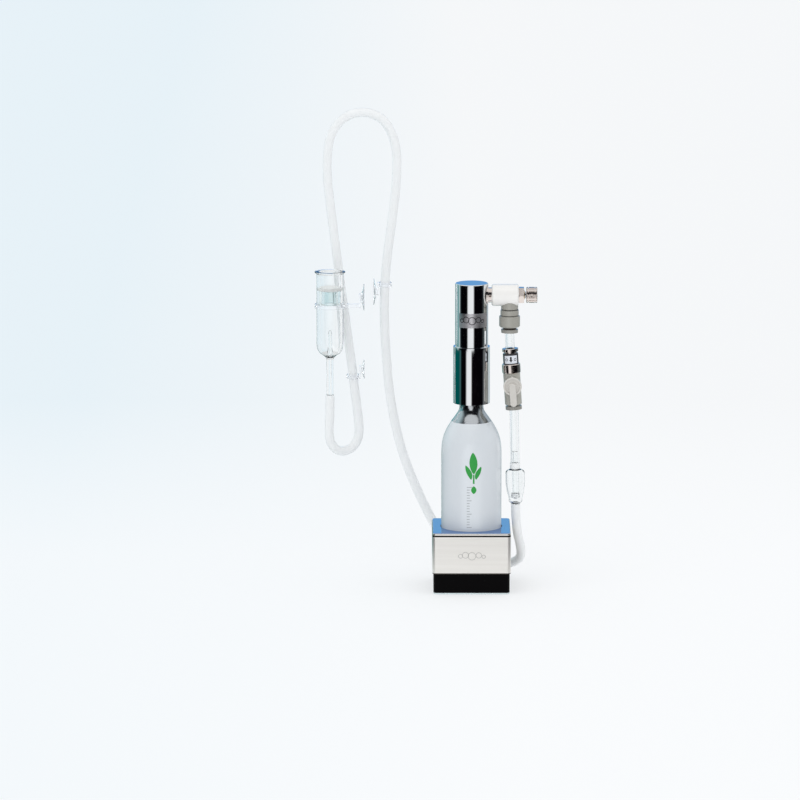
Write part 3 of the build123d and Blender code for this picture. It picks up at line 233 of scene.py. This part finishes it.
class Finish:
    """A Principled material, with helpers that add its surface detail."""

    def __init__(self, name, colour, roughness, metallic=0.0, **sockets):
        self.material = bpy.data.materials.new(name)
        self.material.use_nodes = True
        self.nodes = self.material.node_tree.nodes
        self.links = self.material.node_tree.links
        self.shader = self.nodes["Principled BSDF"]
        self.colour = colour
        self.roughness = roughness
        self.shader.inputs["Base Color"].default_value = colour
        self.shader.inputs["Roughness"].default_value = roughness
        self.shader.inputs["Metallic"].default_value = metallic
        for socket, value in sockets.items():
            self.shader.inputs[socket.replace("_", " ")].default_value = value
        self.place = self.nodes.new("ShaderNodeTexCoord").outputs["Object"]
        self.normal = None
        self.tone = None

    def noise(self, scale, stretch=(1, 1, 1), detail=3.0):
        """Grey noise over the object, its grains drawn out by stretch."""
        mapping = self.nodes.new("ShaderNodeMapping")
        mapping.inputs["Scale"].default_value = stretch
        texture = self.nodes.new("ShaderNodeTexNoise")
        texture.inputs["Scale"].default_value = scale
        texture.inputs["Detail"].default_value = detail
        self.links.new(self.place, mapping.inputs["Vector"])
        self.links.new(mapping.outputs["Vector"], texture.inputs["Vector"])
        return texture.outputs["Fac"]

    def fade(self, value, low, high, to_low=0.0, to_high=1.0):
        """A value taken from one range to another, held at its ends."""
        node = self.nodes.new("ShaderNodeMapRange")
        limits = (low, high, to_low, to_high)
        for socket, limit in zip(("From Min", "From Max", "To Min", "To Max"), limits):
            node.inputs[socket].default_value = limit
        self.links.new(value, node.inputs["Value"])
        return node.outputs["Result"]

    def height(self, low, high):
        """0 below one height and 1 above another."""
        split = self.nodes.new("ShaderNodeSeparateXYZ")
        self.links.new(self.place, split.inputs["Vector"])
        return self.fade(split.outputs["Z"], low, high)

    def blended(self, factor, first, second):
        """A colour between two colours, or between a colour and a socket."""
        node = self.nodes.new("ShaderNodeMix")
        node.data_type = "RGBA"
        for index, value in ((6, first), (7, second)):
            if isinstance(value, bpy.types.NodeSocket):
                self.links.new(value, node.inputs[index])
            else:
                node.inputs[index].default_value = value
        self.links.new(factor, node.inputs["Factor"])
        return node.outputs[2]

    def drive(self, socket, value):
        self.links.new(value, self.shader.inputs[socket])
        return self

    def mottle(self, scale, amount, stretch=(1, 1, 1)):
        """The colour varies by a small share of itself."""
        red, green, blue, _ = self.colour
        dark = (red * (1 - amount), green * (1 - amount), blue * (1 - amount), 1)
        self.tone = self.blended(self.noise(scale, stretch), dark, self.colour)
        return self.drive("Base Color", self.tone)

    def ruled(self, lines):
        """Painted lines of shade over the colour, each from one height to another."""
        for low, high, shade in lines:
            line = self.nodes.new("ShaderNodeMath")
            line.operation = "MULTIPLY"
            above = self.height(high, high + 0.1 * MM)
            self.links.new(self.height(low - 0.1 * MM, low), line.inputs[0])
            self.links.new(self.fade(above, 0, 1, 1, 0), line.inputs[1])
            self.tone = self.blended(line.outputs["Value"], self.tone, shade)
        return self.drive("Base Color", self.tone)

    def scuff(self, scale, spread, stretch=(1, 1, 1)):
        """The roughness varies about its value."""
        low = max(self.roughness - spread, 0)
        high = self.roughness + spread
        return self.drive("Roughness", self.fade(self.noise(scale, stretch), 0.3, 0.7, low, high))

    def grain(self, scale, depth, stretch=(1, 1, 1), strength=0.5):
        """Fine relief, added to what is already there."""
        bump = self.nodes.new("ShaderNodeBump")
        bump.inputs["Strength"].default_value = strength
        bump.inputs["Distance"].default_value = depth
        self.links.new(self.noise(scale, stretch), bump.inputs["Height"])
        if self.normal is not None:
            self.links.new(self.normal, bump.inputs["Normal"])
        self.normal = bump.outputs["Normal"]
        return self.drive("Normal", self.normal)


# Painted lines of shade at heights: a painted dark reflection below the cover's polished bend,
# a painted shadow along its lower edge, painted shade round the elbow's two steps, and a painted
# shadow where the release collet enters it.
STEEL_REFLECTION_AND_SHADE_LINES = ((0.0389, 0.0399, srgb(24, 20, 20)), (0.0140, 0.0145, srgb(120, 112, 106)))
ELBOW_SHADE_LINES = ((0.1832, 0.1836, srgb(70, 68, 64)), (0.1873, 0.1877, srgb(70, 68, 64)))
COLLET_SHADOW_LINES = ((0.1742, 0.1757, srgb(62, 52, 46)),)


def satin_steel():
    """Brushed along X, with the bend and the top polished, and a painted blue reflection on the top.
    """
    steel = Finish("satin_steel", srgb(250, 247, 241), 0.34, metallic=0.85)
    steel.grain(900, 0.02 * MM, stretch=(0.03, 1, 1), strength=0.3)
    bend = steel.height(COVER_BEND_Z, COVER_BEND_Z + 0.2 * MM)
    top = steel.height(COVER_TOP_Z - 0.25 * MM, COVER_TOP_Z - 0.1 * MM)
    streaks = steel.noise(500, (0.03, 1, 1))
    steel.tone = steel.blended(streaks, srgb(243, 239, 233), srgb(254, 251, 246))
    # Painted lines: a dark reflection below the bend and a shadow along the lower edge.
    steel.ruled(STEEL_REFLECTION_AND_SHADE_LINES)
    # The top's blue is a painted reflection, mixed into the steel's colour.
    steel.drive("Base Color", steel.blended(top, steel.tone, srgb(60, 130, 205)))
    brushed = steel.fade(steel.noise(700, (0.03, 1, 1)), 0.3, 0.7, 0.3, 0.4)
    polish = steel.nodes.new("ShaderNodeMix")
    polish.inputs["B"].default_value = 0.04
    steel.links.new(bend, polish.inputs["Factor"])
    steel.links.new(brushed, polish.inputs["A"])
    steel.drive("Roughness", polish.outputs["Result"])
    return steel.material


def bottle_paint():
    """White paint under a glossy coat up to the shoulder, and bright plate on the bare neck."""
    white = srgb(218, 224, 230)
    paint = Finish("bottle_paint", white, 0.33, Coat_Weight=0.9, Coat_Roughness=0.18)
    bare = paint.height(BARE_NECK_Z, BARE_NECK_Z + 0.25 * MM)
    painted = paint.blended(paint.noise(60), srgb(215, 221, 227), srgb(221, 225, 229))
    paint.drive("Base Color", paint.blended(bare, painted, srgb(205, 208, 212)))
    paint.drive("Metallic", bare)
    paint.drive("Roughness", paint.fade(bare, 0, 1, 0.33, 0.13))
    paint.grain(1800, 0.01 * MM, strength=0.15)
    return paint.material


def plated(name, colour, roughness):
    """Bright plate with faint wiping marks."""
    plate = Finish(name, colour, roughness, metallic=1.0)
    plate.scuff(90, roughness * 0.5)
    plate.mottle(70, 0.02)
    plate.grain(260, 0.004 * MM, strength=0.012)
    return plate.material


def moulded(name, colour, roughness, lines=(), **sockets):
    """Moulded plastic or rubber: a fine skin, and a colour that is not quite even."""
    plastic = Finish(name, colour, roughness, **sockets)
    # Any lines given are painted lines of shade.
    plastic.mottle(220, 0.06).ruled(lines)
    plastic.scuff(160, roughness * 0.25)
    plastic.grain(2400, 0.012 * MM, strength=0.3)
    return plastic.material


def machined(name, colour, roughness):
    """Turned metal, with its tool marks across X and Z."""
    metal = Finish(name, colour, roughness, metallic=1.0)
    metal.scuff(1500, roughness * 0.3, stretch=(1, 0.1, 0.1))
    metal.mottle(300, 0.08)
    metal.grain(2600, 0.006 * MM, stretch=(1, 0.1, 0.1), strength=0.3)
    return metal.material


def see_through(name, colour, roughness, ior, weight=1.0):
    """Glass and clear plastics, with a slight waviness."""
    clear = Finish(name, colour, roughness, IOR=ior, Transmission_Weight=weight)
    clear.shader.inputs["Specular IOR Level"].default_value = 0.25
    clear.scuff(120, roughness * 0.4)
    clear.grain(90, 0.004 * MM, strength=0.02)
    return clear.material


def milky(name, colour):
    """Translucent silicone: light goes a few millimetres into it."""
    silicone = Finish(name, colour, 0.32, IOR=1.41, Subsurface_Weight=0.3)
    silicone.shader.inputs["Subsurface Radius"].default_value = (3 * MM, 3 * MM, 3 * MM)
    silicone.shader.inputs["Subsurface Scale"].default_value = 1.0
    silicone.shader.inputs["Specular IOR Level"].default_value = 0.3
    silicone.mottle(300, 0.03)
    silicone.scuff(240, 0.06)
    silicone.grain(1500, 0.008 * MM, strength=0.06)
    return silicone.material


def fired(name, colour):
    """Sintered grains of ceramic or bronze."""
    grains = Finish(name, colour, 0.85)
    grains.mottle(3500, 0.08)
    grains.scuff(900, 0.1)
    grains.grain(4200, 0.04 * MM, strength=0.4)
    return grains.material


def make_materials():
    """One material for each slot of the record."""
    return {
        "satin_steel": satin_steel(),
        "black_block": moulded("black_block", srgb(2, 1, 2), 0.14, Specular_IOR_Level=0.05),
        "clear_foot": see_through("clear_foot", srgb(214, 226, 228), 0.25, 1.45, 0.6),
        "cushion_rubber": moulded("cushion_rubber", srgb(40, 41, 44), 0.7),
        "bottle_paint": bottle_paint(),
        "chrome": plated("chrome", srgb(246, 247, 248), 0.03),
        "nickel": plated("nickel", srgb(238, 226, 219), 0.13),
        "brass": machined("brass", srgb(214, 182, 120), 0.24),
        "seal_rubber": moulded("seal_rubber", srgb(26, 26, 28), 0.5),
        "sinter": fired("sinter", srgb(150, 122, 84)),
        "nylon": moulded("nylon", srgb(228, 226, 218), 0.42),
        "spring_steel": machined("spring_steel", srgb(190, 190, 192), 0.25),
        "resin_white": moulded(
            "resin_white", srgb(247, 245, 242), 0.22, Coat_Weight=0.3, Coat_Roughness=0.1
        ),
        "resin_grey": moulded(
            "resin_grey", srgb(150, 148, 142), 0.3, Coat_Weight=0.2, Coat_Roughness=0.1
        ),
        "resin_dark": moulded(
            "resin_dark", srgb(52, 52, 56), 0.2, Coat_Weight=0.4, Coat_Roughness=0.08
        ),
        "clear_tube": see_through("clear_tube", srgb(253, 254, 254), 0.02, 1.46),
        "silicone": milky("silicone", srgb(249, 251, 252)),
        "glass": see_through("glass", srgb(254, 255, 255), 0.0, 1.47),
        "ceramic_disc": fired("ceramic_disc", srgb(254, 254, 252)),
        "clear_cup": see_through("clear_cup", srgb(252, 253, 255), 0.2, 1.25, 0.9),
    }


def finish_nodes(materials):
    """Each CAD node's material: its slot's, or its own where it differs within the slot."""
    special = {
        "valve_handle": moulded(
            "resin_pale", srgb(210, 206, 200), 0.24, Coat_Weight=0.4, Coat_Roughness=0.08
        ),
        "valve_inlet_collet": materials["nickel"],
        "diffuser_seat": see_through("seat_glass", srgb(236, 246, 246), 0.0, 1.47),
        "check_valve_seal": materials["silicone"],
        # The elbow and collet colours carry painted lines of shade.
        "elbow_body": moulded("elbow_resin_with_painted_shade", srgb(166, 164, 156), 0.3, ELBOW_SHADE_LINES, Coat_Weight=0.2),
        "elbow_collet": moulded("collet_resin_with_painted_shadow", srgb(156, 154, 148), 0.3, COLLET_SHADOW_LINES),
        "valve_body": moulded("resin_light_grey", srgb(178, 176, 168), 0.3, Coat_Weight=0.2),
    }
    for part in RECORD["subparts"]:
        material = special.get(part["node"], materials[part["material_slot"]])
        node = NODES[part["node"]]
        if part["material_slot"] in ("glass", "clear_tube", "clear_cup"):
            node.visible_shadow = False  # light goes through it
        for material_slot in node.material_slots:
            material_slot.material = material


# Fused ceramic disc ------------------------------------------------------------------------


def make_disc(material):
    """The porous disc, with a crowned top and its edge fused a little way into the glass wall."""
    low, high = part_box("diffuser_disc")
    centre = (Vector(low) + Vector(high)) / 2
    reach = (high[0] - low[0]) / 2 + FUSED_DEPTH
    half = (high[2] - low[2]) / 2
    outline = [(0.6 * reach, half), (0.93 * reach, half - 0.1 * MM), (reach, half - 0.35 * MM)]
    outline += [(radius, -height) for radius, height in reversed(outline)]
    bm = bmesh.new()
    loops = []
    for radius, height in outline:
        loop = []
        for step in range(DISC_SIDES):
            angle = 2 * math.pi * step / DISC_SIDES
            place = Vector((radius * math.cos(angle), radius * math.sin(angle), height))
            loop.append(bm.verts.new(centre + place))
        loops.append(loop)
    for first, second in zip(loops, loops[1:]):
        bridge(bm, first, second)
    bm.faces.new(loops[0])
    bm.faces.new(loops[-1])
    disc = smooth(piece("porous_disc", bm, material))
    disc.modifiers.new("edges", "EDGE_SPLIT").split_angle = math.radians(50)
    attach(disc, "stand")
    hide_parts("diffuser_disc")


# Marks -------------------------------------------------------------------------------------


class Surface:
    """Where a mark lies: a cylinder about an upright axis, or a flat front, moved by a matrix."""

    def __init__(self, radius, matrix=None):
        self.radius = radius
        self.matrix = matrix or Matrix.Identity(4)

    def point(self, across, up, lift):
        """A point of the mark. Across is a length round the cylinder from its front."""
        radius = self.radius + lift
        angle = across / self.radius
        return self.matrix @ Vector((radius * math.sin(angle), -radius * math.cos(angle), up))


class FlatFront(Surface):
    def point(self, across, up, lift):
        return self.matrix @ Vector((across, -self.radius - lift, up))


def strip(bm, surface, rows, columns=8, lift=DECAL_THICKNESS):
    """A thin closed sheet on a surface, between left and right edges given at each row."""
    sheets = []
    for height in (lift, -lift):
        grid = []
        for up, left, right in rows:
            steps = [left + (right - left) * column / columns for column in range(columns + 1)]
            grid.append([bm.verts.new(surface.point(across, up, height)) for across in steps])
        sheets.append(grid)
    for grid in sheets:
        for low, high in zip(grid, grid[1:]):
            for column in range(columns):
                bm.faces.new((low[column], low[column + 1], high[column + 1], high[column]))
    rims = []
    for grid in sheets:
        right = [row[-1] for row in grid]
        left = [row[0] for row in grid]
        rims.append(grid[0][:-1] + right[:-1] + grid[-1][:0:-1] + left[:0:-1])
    bridge(bm, rims[0], rims[1])


def hoop(bm, surface, across, up, radius, width, steps=32, lift=DECAL_THICKNESS):
    """A thin closed ring on a surface."""
    loops = []
    inner = radius - width
    for size, height in ((radius, lift), (inner, lift), (inner, -lift), (radius, -lift)):
        loop = []
        for step in range(steps):
            angle = 2 * math.pi * step / steps
            place = surface.point(across + size * math.cos(angle), up + size * math.sin(angle), height)
            loop.append(bm.verts.new(place))
        loops.append(loop)
    for first, second in zip(loops, loops[1:] + loops[:1]):
        bridge(bm, first, second)


def leaf_rows(across, low, high, width, lean, steps=14):
    """A pointed leaf, from its foot to its tip, leaning to one side."""
    rows = []
    for step in range(steps + 1):
        share = step / steps
        half = 0.5 * width * math.sin(math.pi * share) ** 0.75 + 0.06 * MM
        middle = across + lean * share ** 1.4
        rows.append((low + (high - low) * share, middle - half, middle + half))
    return rows


def make_bottle_mark(green, grey):
    """A plain sprig of three leaves over a drop, and a scale of fill ticks."""
    front = Surface(BOTTLE_R)
    bm = bmesh.new()
    strip(bm, front, leaf_rows(1.4 * MM, 80 * MM, 94.6 * MM, 5.2 * MM, -0.6 * MM))
    strip(bm, front, leaf_rows(-0.4 * MM, 76.4 * MM, 86 * MM, 3.4 * MM, -3.6 * MM))
    strip(bm, front, leaf_rows(2.9 * MM, 76.4 * MM, 85 * MM, 3.2 * MM, 3.4 * MM))
    strip(bm, front, [(73.6 * MM, 0.8 * MM, 1.9 * MM), (79.8 * MM, 0.9 * MM, 1.8 * MM)], columns=2)
    strip(bm, front, leaf_rows(1.4 * MM, 66.8 * MM, 72 * MM, 3.4 * MM, 0))
    sprig = piece("bottle_sprig", bm, green)
    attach(sprig, "cartridge")
    bm = bmesh.new()
    for tick in range(16):
        low = (44 + 1.8 * tick) * MM
        left = -3.2 * MM
        right = left + (3.2 if tick % 5 == 0 else 1.9) * MM
        strip(bm, front, [(low, left, right), (low + 0.45 * MM, left, right)], columns=3)
    scale = piece("bottle_scale", bm, grey)
    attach(scale, "cartridge")


BUBBLES = [(-7.0, 0.0, 1.5), (-3.9, 0.7, 2.2), (0.2, 0.0, 2.7), (4.5, 0.6, 2.0), (7.6, -0.3, 1.3)]


def make_barrel_mark(etched, dark):
    """A satin band etched round the front of the barrel, with a row of plain bubbles."""
    front = Surface(BARREL_R)
    low, high = BAND_BOTTOM_Z, BAND_TOP_Z
    left, right = (BARREL_R * math.radians(angle) for angle in (-50, 66))
    bm = bmesh.new()
    strip(bm, front, [(low, left, right), (high, left, right)], columns=40, lift=BAND_THICKNESS)
    band = smooth(piece("barrel_band", bm, etched))
    band.modifiers.new("edges", "EDGE_SPLIT").split_angle = math.radians(40)
    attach(band, "regulator")
    bm = bmesh.new()
    place = Surface(BARREL_R + BAND_THICKNESS)
    middle = (low + high) / 2
    for across, up, radius in BUBBLES:
        hoop(bm, place, across * MM, middle + up * MM, radius * MM, 0.5 * MM, lift=PRINT_THICKNESS)
    bubbles = piece("barrel_bubbles", bm, dark)
    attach(bubbles, "regulator")


def make_stand_mark(etched):
    """The same bubbles, etched faintly on the front of the stand."""
    bm = bmesh.new()
    place = FlatFront(-COVER_FRONT_Y)
    for across, up, radius in BUBBLES:
        middle = (across * 1.05 * MM, (26 + up) * MM)
        hoop(bm, place, *middle, radius * MM, 0.35 * MM, lift=ETCH_THICKNESS)
    mark = piece("stand_bubbles", bm, etched)
    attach(mark, "stand")


def upright(joint_name):
    """The matrix that takes an upright axis at the origin to a joint's axis."""
    joint = next(j for j in RECORD["behaviour"]["joints"] if j["name"] == joint_name)
    axis = Vector(joint["axis"]).normalized()
    turn = Vector((0, 0, 1)).rotation_difference(axis).to_matrix().to_4x4()
    return Matrix.Translation(Vector(joint["pos_m"])) @ turn


def make_valve_label(paper, dark):
    """A white sticker with a plain flow arrow, on the ball valve's inlet barrel."""
    place = Surface(VALVE_BARREL_R, upright("valve_swivel"))
    bm = bmesh.new()
    paper_rows = [(14.9 * MM, -4.6 * MM, 4.6 * MM), (20.2 * MM, -4.6 * MM, 4.6 * MM)]
    strip(bm, place, paper_rows, columns=24, lift=STICKER_THICKNESS)
    sticker = smooth(piece("valve_sticker", bm, paper))
    sticker.modifiers.new("edges", "EDGE_SPLIT").split_angle = math.radians(40)
    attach(sticker, "shutoff_valve")
    print_surface = Surface(VALVE_BARREL_R + STICKER_THICKNESS, place.matrix)
    bm = bmesh.new()
    head = [(15.7 * MM, -0.05 * MM, 0.05 * MM), (17.3 * MM, -1.5 * MM, 1.5 * MM)]
    shaft = [(17.3 * MM, -0.6 * MM, 0.6 * MM), (19.4 * MM, -0.6 * MM, 0.6 * MM)]
    strip(bm, print_surface, head, columns=6, lift=PRINT_THICKNESS)
    strip(bm, print_surface, shaft, columns=4, lift=PRINT_THICKNESS)
    for across in (-3.0 * MM, 3.0 * MM):
        hoop(
            bm, print_surface, across, 17.5 * MM, 0.95 * MM, 0.35 * MM, steps=20,
            lift=PRINT_THICKNESS,
        )
    arrow = piece("valve_arrow", bm, dark)
    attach(arrow, "shutoff_valve")


def make_marks():
    green = moulded("green_print", srgb(38, 158, 62), 0.4)
    grey = moulded("grey_print", srgb(168, 172, 176), 0.45)
    etched = plated("etched_plate", srgb(240, 236, 240), 0.42)
    dark = moulded("dark_etch", srgb(34, 34, 38), 0.5)
    faint = plated("faint_etch", srgb(206, 203, 198), 0.55)
    paper = moulded("sticker_paper", srgb(228, 232, 240), 0.4)
    make_bottle_mark(green, grey)
    make_barrel_mark(etched, dark)
    make_stand_mark(faint)
    make_valve_label(paper, dark)


# Studio ------------------------------------------------------------------------------------

# What each tier of the card round the object shows, by azimuth from the camera, to the right.
BARREL_TIER = [
    (-180, (84, 140, 142)), (-150, (96, 148, 150)), (-105, (104, 152, 153)), (-97, (190, 208, 208)),
    (-91, (150, 170, 172)), (-85, (40, 46, 50)), (-76, (3, 2, 5)), (-33, (3, 2, 4)),
    (-24, (236, 238, 240)), (9, (240, 242, 244)), (18, (4, 2, 5)), (74, (4, 3, 6)),
    (84, (42, 46, 49)), (94, (79, 86, 88)),
    (107, (80, 88, 88)), (117, (50, 60, 66)), (132, (122, 131, 138)), (150, (196, 206, 212)),
]
APRON_TIER = [
    (-180, (96, 142, 142)), (-132, (40, 108, 106)), (-88, (10, 80, 78)), (-68, (14, 16, 20)),
    (-42, (10, 10, 14)), (-32, (236, 238, 240)), (30, (236, 238, 240)), (40, (12, 10, 14)),
    (74, (16, 18, 22)), (94, (106, 108, 108)), (138, (212, 220, 224)),
]
SLEEVE_TIER = [
    (-180, (96, 142, 142)), (-150, (86, 136, 135)), (-132, (30, 104, 102)), (-124, (0, 80, 78)),
    (-88, (0, 78, 76)), (-74, (60, 94, 96)), (-68, (6, 8, 10)), (-38, (3, 2, 4)),
    (-29, (236, 238, 240)), (-5, (238, 240, 242)), (2, (8, 4, 8)), (68, (4, 3, 6)),
    (74, (26, 30, 35)), (84, (110, 112, 113)),
    (94, (106, 108, 108)), (111, (62, 66, 70)), (123, (92, 99, 101)), (138, (212, 220, 224)),
]
HIGH_TIER = [
    (-180, (164, 218, 238)), (-168, (164, 218, 238)), (-160, (120, 178, 184)), (-100, (116, 172, 178)),
    (-84, (40, 44, 48)), (-60, (14, 14, 18)), (-26, (12, 12, 16)), (-16, (240, 242, 243)),
    (4, (240, 242, 243)), (12, (20, 20, 24)), (60, (14, 16, 20)),
    (90, (120, 128, 134)), (126, (178, 186, 192)),
    (158, (150, 160, 168)), (168, (164, 218, 238)),
]
SKY_TIER = [
    (-180, (106, 160, 215)), (-165, (106, 160, 215)), (-156, (170, 206, 212)), (-100, (196, 214, 218)),
    (-70, (60, 64, 68)), (-24, (16, 16, 20)), (-12, (30, 30, 34)), (14, (30, 30, 34)),
    (60, (20, 22, 26)), (84, (170, 176, 180)), (156, (196, 206, 214)), (165, (106, 160, 215)),
]


def ring_material():
    """Light given off by azimuth and height."""
    material = bpy.data.materials.new("studio_ring")
    material.use_nodes = True
    nodes, links = material.node_tree.nodes, material.node_tree.links
    nodes.clear()
    place = nodes.new("ShaderNodeTexCoord").outputs["Object"]
    split = nodes.new("ShaderNodeSeparateXYZ")
    links.new(place, split.inputs["Vector"])

    def maths(operation, first, second):
        node = nodes.new("ShaderNodeMath")
        node.operation = operation
        for socket, value in zip(node.inputs, (first, second)):
            if isinstance(value, bpy.types.NodeSocket):
                links.new(value, socket)
            else:
                socket.default_value = value
        return node.outputs["Value"]

    turn = maths("ARCTAN2", split.outputs["X"], maths("MULTIPLY", split.outputs["Y"], -1.0))
    share = maths("ADD", maths("DIVIDE", turn, 2 * math.pi), 0.5)

    def tier(stops):
        ramp = nodes.new("ShaderNodeValToRGB")
        elements = ramp.color_ramp.elements
        first_colour = stops[0][1]
        for azimuth, colour in stops[1:]:
            elements.new((azimuth + 180) / 360).color = srgb(*colour)
        elements[0].position = 0
        elements[0].color = srgb(*first_colour)
        elements[-1].position = 1
        elements[-1].color = srgb(*first_colour)
        links.new(share, ramp.inputs["Fac"])
        return ramp.outputs["Color"]

    def change_at(height, below, above):
        fade = nodes.new("ShaderNodeMapRange")
        fade.inputs["From Min"].default_value = height - TIER_BLUR
        fade.inputs["From Max"].default_value = height + TIER_BLUR
        links.new(split.outputs["Z"], fade.inputs["Value"])
        mix = nodes.new("ShaderNodeMix")
        mix.data_type = "RGBA"
        links.new(fade.outputs["Result"], mix.inputs["Factor"])
        links.new(below, mix.inputs[6])
        links.new(above, mix.inputs[7])
        return mix.outputs[2]

    sleeve = change_at(2 * APRON_HEIGHT, tier(APRON_TIER), tier(SLEEVE_TIER))
    low = change_at(LOW_TIER_TOP, sleeve, tier(BARREL_TIER))
    emission = nodes.new("ShaderNodeEmission")
    high = change_at(HIGH_TIER_BOTTOM, low, tier(HIGH_TIER))
    links.new(change_at(SKY_TIER_BOTTOM, high, tier(SKY_TIER)), emission.inputs["Color"])
    output = nodes.new("ShaderNodeOutputMaterial")
    links.new(emission.outputs["Emission"], output.inputs["Surface"])
    return material


def reflected_only(card):
    """Studio equipment that reflections show and nothing else does."""
    card.visible_camera = False
    card.visible_diffuse = False
    card.visible_transmission = False
    card.visible_shadow = False
    card.visible_volume_scatter = False


def make_ring():
    """A round card about the object, and an apron of it on the floor."""
    bm = bmesh.new()
    bmesh.ops.create_cone(
        bm, segments=CARD_SIDES, radius1=RING_RADIUS, radius2=RING_RADIUS, depth=RING_TOP,
        cap_ends=False, matrix=Matrix.Translation((0, 0, RING_TOP / 2)),
    )
    light = ring_material()
    reflected_only(smooth(piece("studio_ring", bm, light)))
    bm = bmesh.new()
    rims = []
    for radius in (APRON_RADIUS, RING_RADIUS):
        rim = []
        for step in range(CARD_SIDES):
            angle = 2 * math.pi * step / CARD_SIDES
            place = (radius * math.cos(angle), radius * math.sin(angle), APRON_HEIGHT)
            rim.append(bm.verts.new(place))
        rims.append(rim)
    bridge(bm, *rims)
    reflected_only(piece("studio_apron", bm, light))


def make_floor():
    """A pale floor, painted paler to the right and a little darker towards the back as light falls on
    it, that gives off light so that shadows stay faint.
    """
    paint = Finish("floor_painted_light", srgb(248, 250, 251), 1.0, Specular_IOR_Level=0.0)
    split = paint.nodes.new("ShaderNodeSeparateXYZ")
    paint.links.new(paint.place, split.inputs["Vector"])
    # Painted light: the floor's colour falls off to the left and towards the back.
    rightward = paint.fade(split.outputs["X"], -0.3, 0.02)
    backward = paint.fade(split.outputs["Y"], 0.1, 0.7)
    near = paint.blended(rightward, srgb(167, 170, 172), srgb(171, 172, 173))
    far = paint.blended(rightward, srgb(158, 165, 169), srgb(168, 169, 170))
    tone = paint.blended(backward, near, far)
    paint.drive("Base Color", tone)
    paint.drive("Emission Color", tone)
    paint.shader.inputs["Emission Strength"].default_value = FLOOR_GLOW
    bm = bmesh.new()
    bmesh.ops.create_grid(bm, x_segments=2, y_segments=2, size=FLOOR_SIZE)
    piece("floor", bm, paint.material)


def sun(name, azimuth, elevation, power, spread, colour=(1, 1, 1)):
    """A broad, even light from one side; azimuth 0 is from the camera and 90 from the right."""
    data = bpy.data.lights.new(name, "SUN")
    data.energy = power
    data.angle = math.radians(spread)
    data.color = colour
    light = bpy.data.objects.new(name, data)
    turn = math.radians(azimuth)
    rise = math.radians(elevation)
    level = Vector((math.sin(turn), -math.cos(turn), 0)) * math.cos(rise)
    towards = level + Vector((0, 0, math.sin(rise)))
    light.rotation_euler = towards.to_track_quat("Z", "Y").to_euler()
    light.visible_glossy = False
    bpy.context.collection.objects.link(light)


def make_studio():
    world = bpy.data.worlds.new("studio")
    world.use_nodes = True
    background = world.node_tree.nodes["Background"]
    background.inputs["Color"].default_value = (0.975, 0.99, 1.0, 1)
    background.inputs["Strength"].default_value = WORLD_STRENGTH
    bpy.context.scene.world = world
    bpy.context.scene.view_settings.view_transform = "Standard"
    make_floor()
    make_ring()
    sun("key", -35, 48, 0.55, 60)
    sun("fill", 50, 30, 0.25, 80, (1.0, 0.99, 0.97))


make_camera()
materials = make_materials()
make_silicone_tube(materials["silicone"])
finish_nodes(materials)
make_disc(materials["ceramic_disc"])
make_marks()
make_studio()
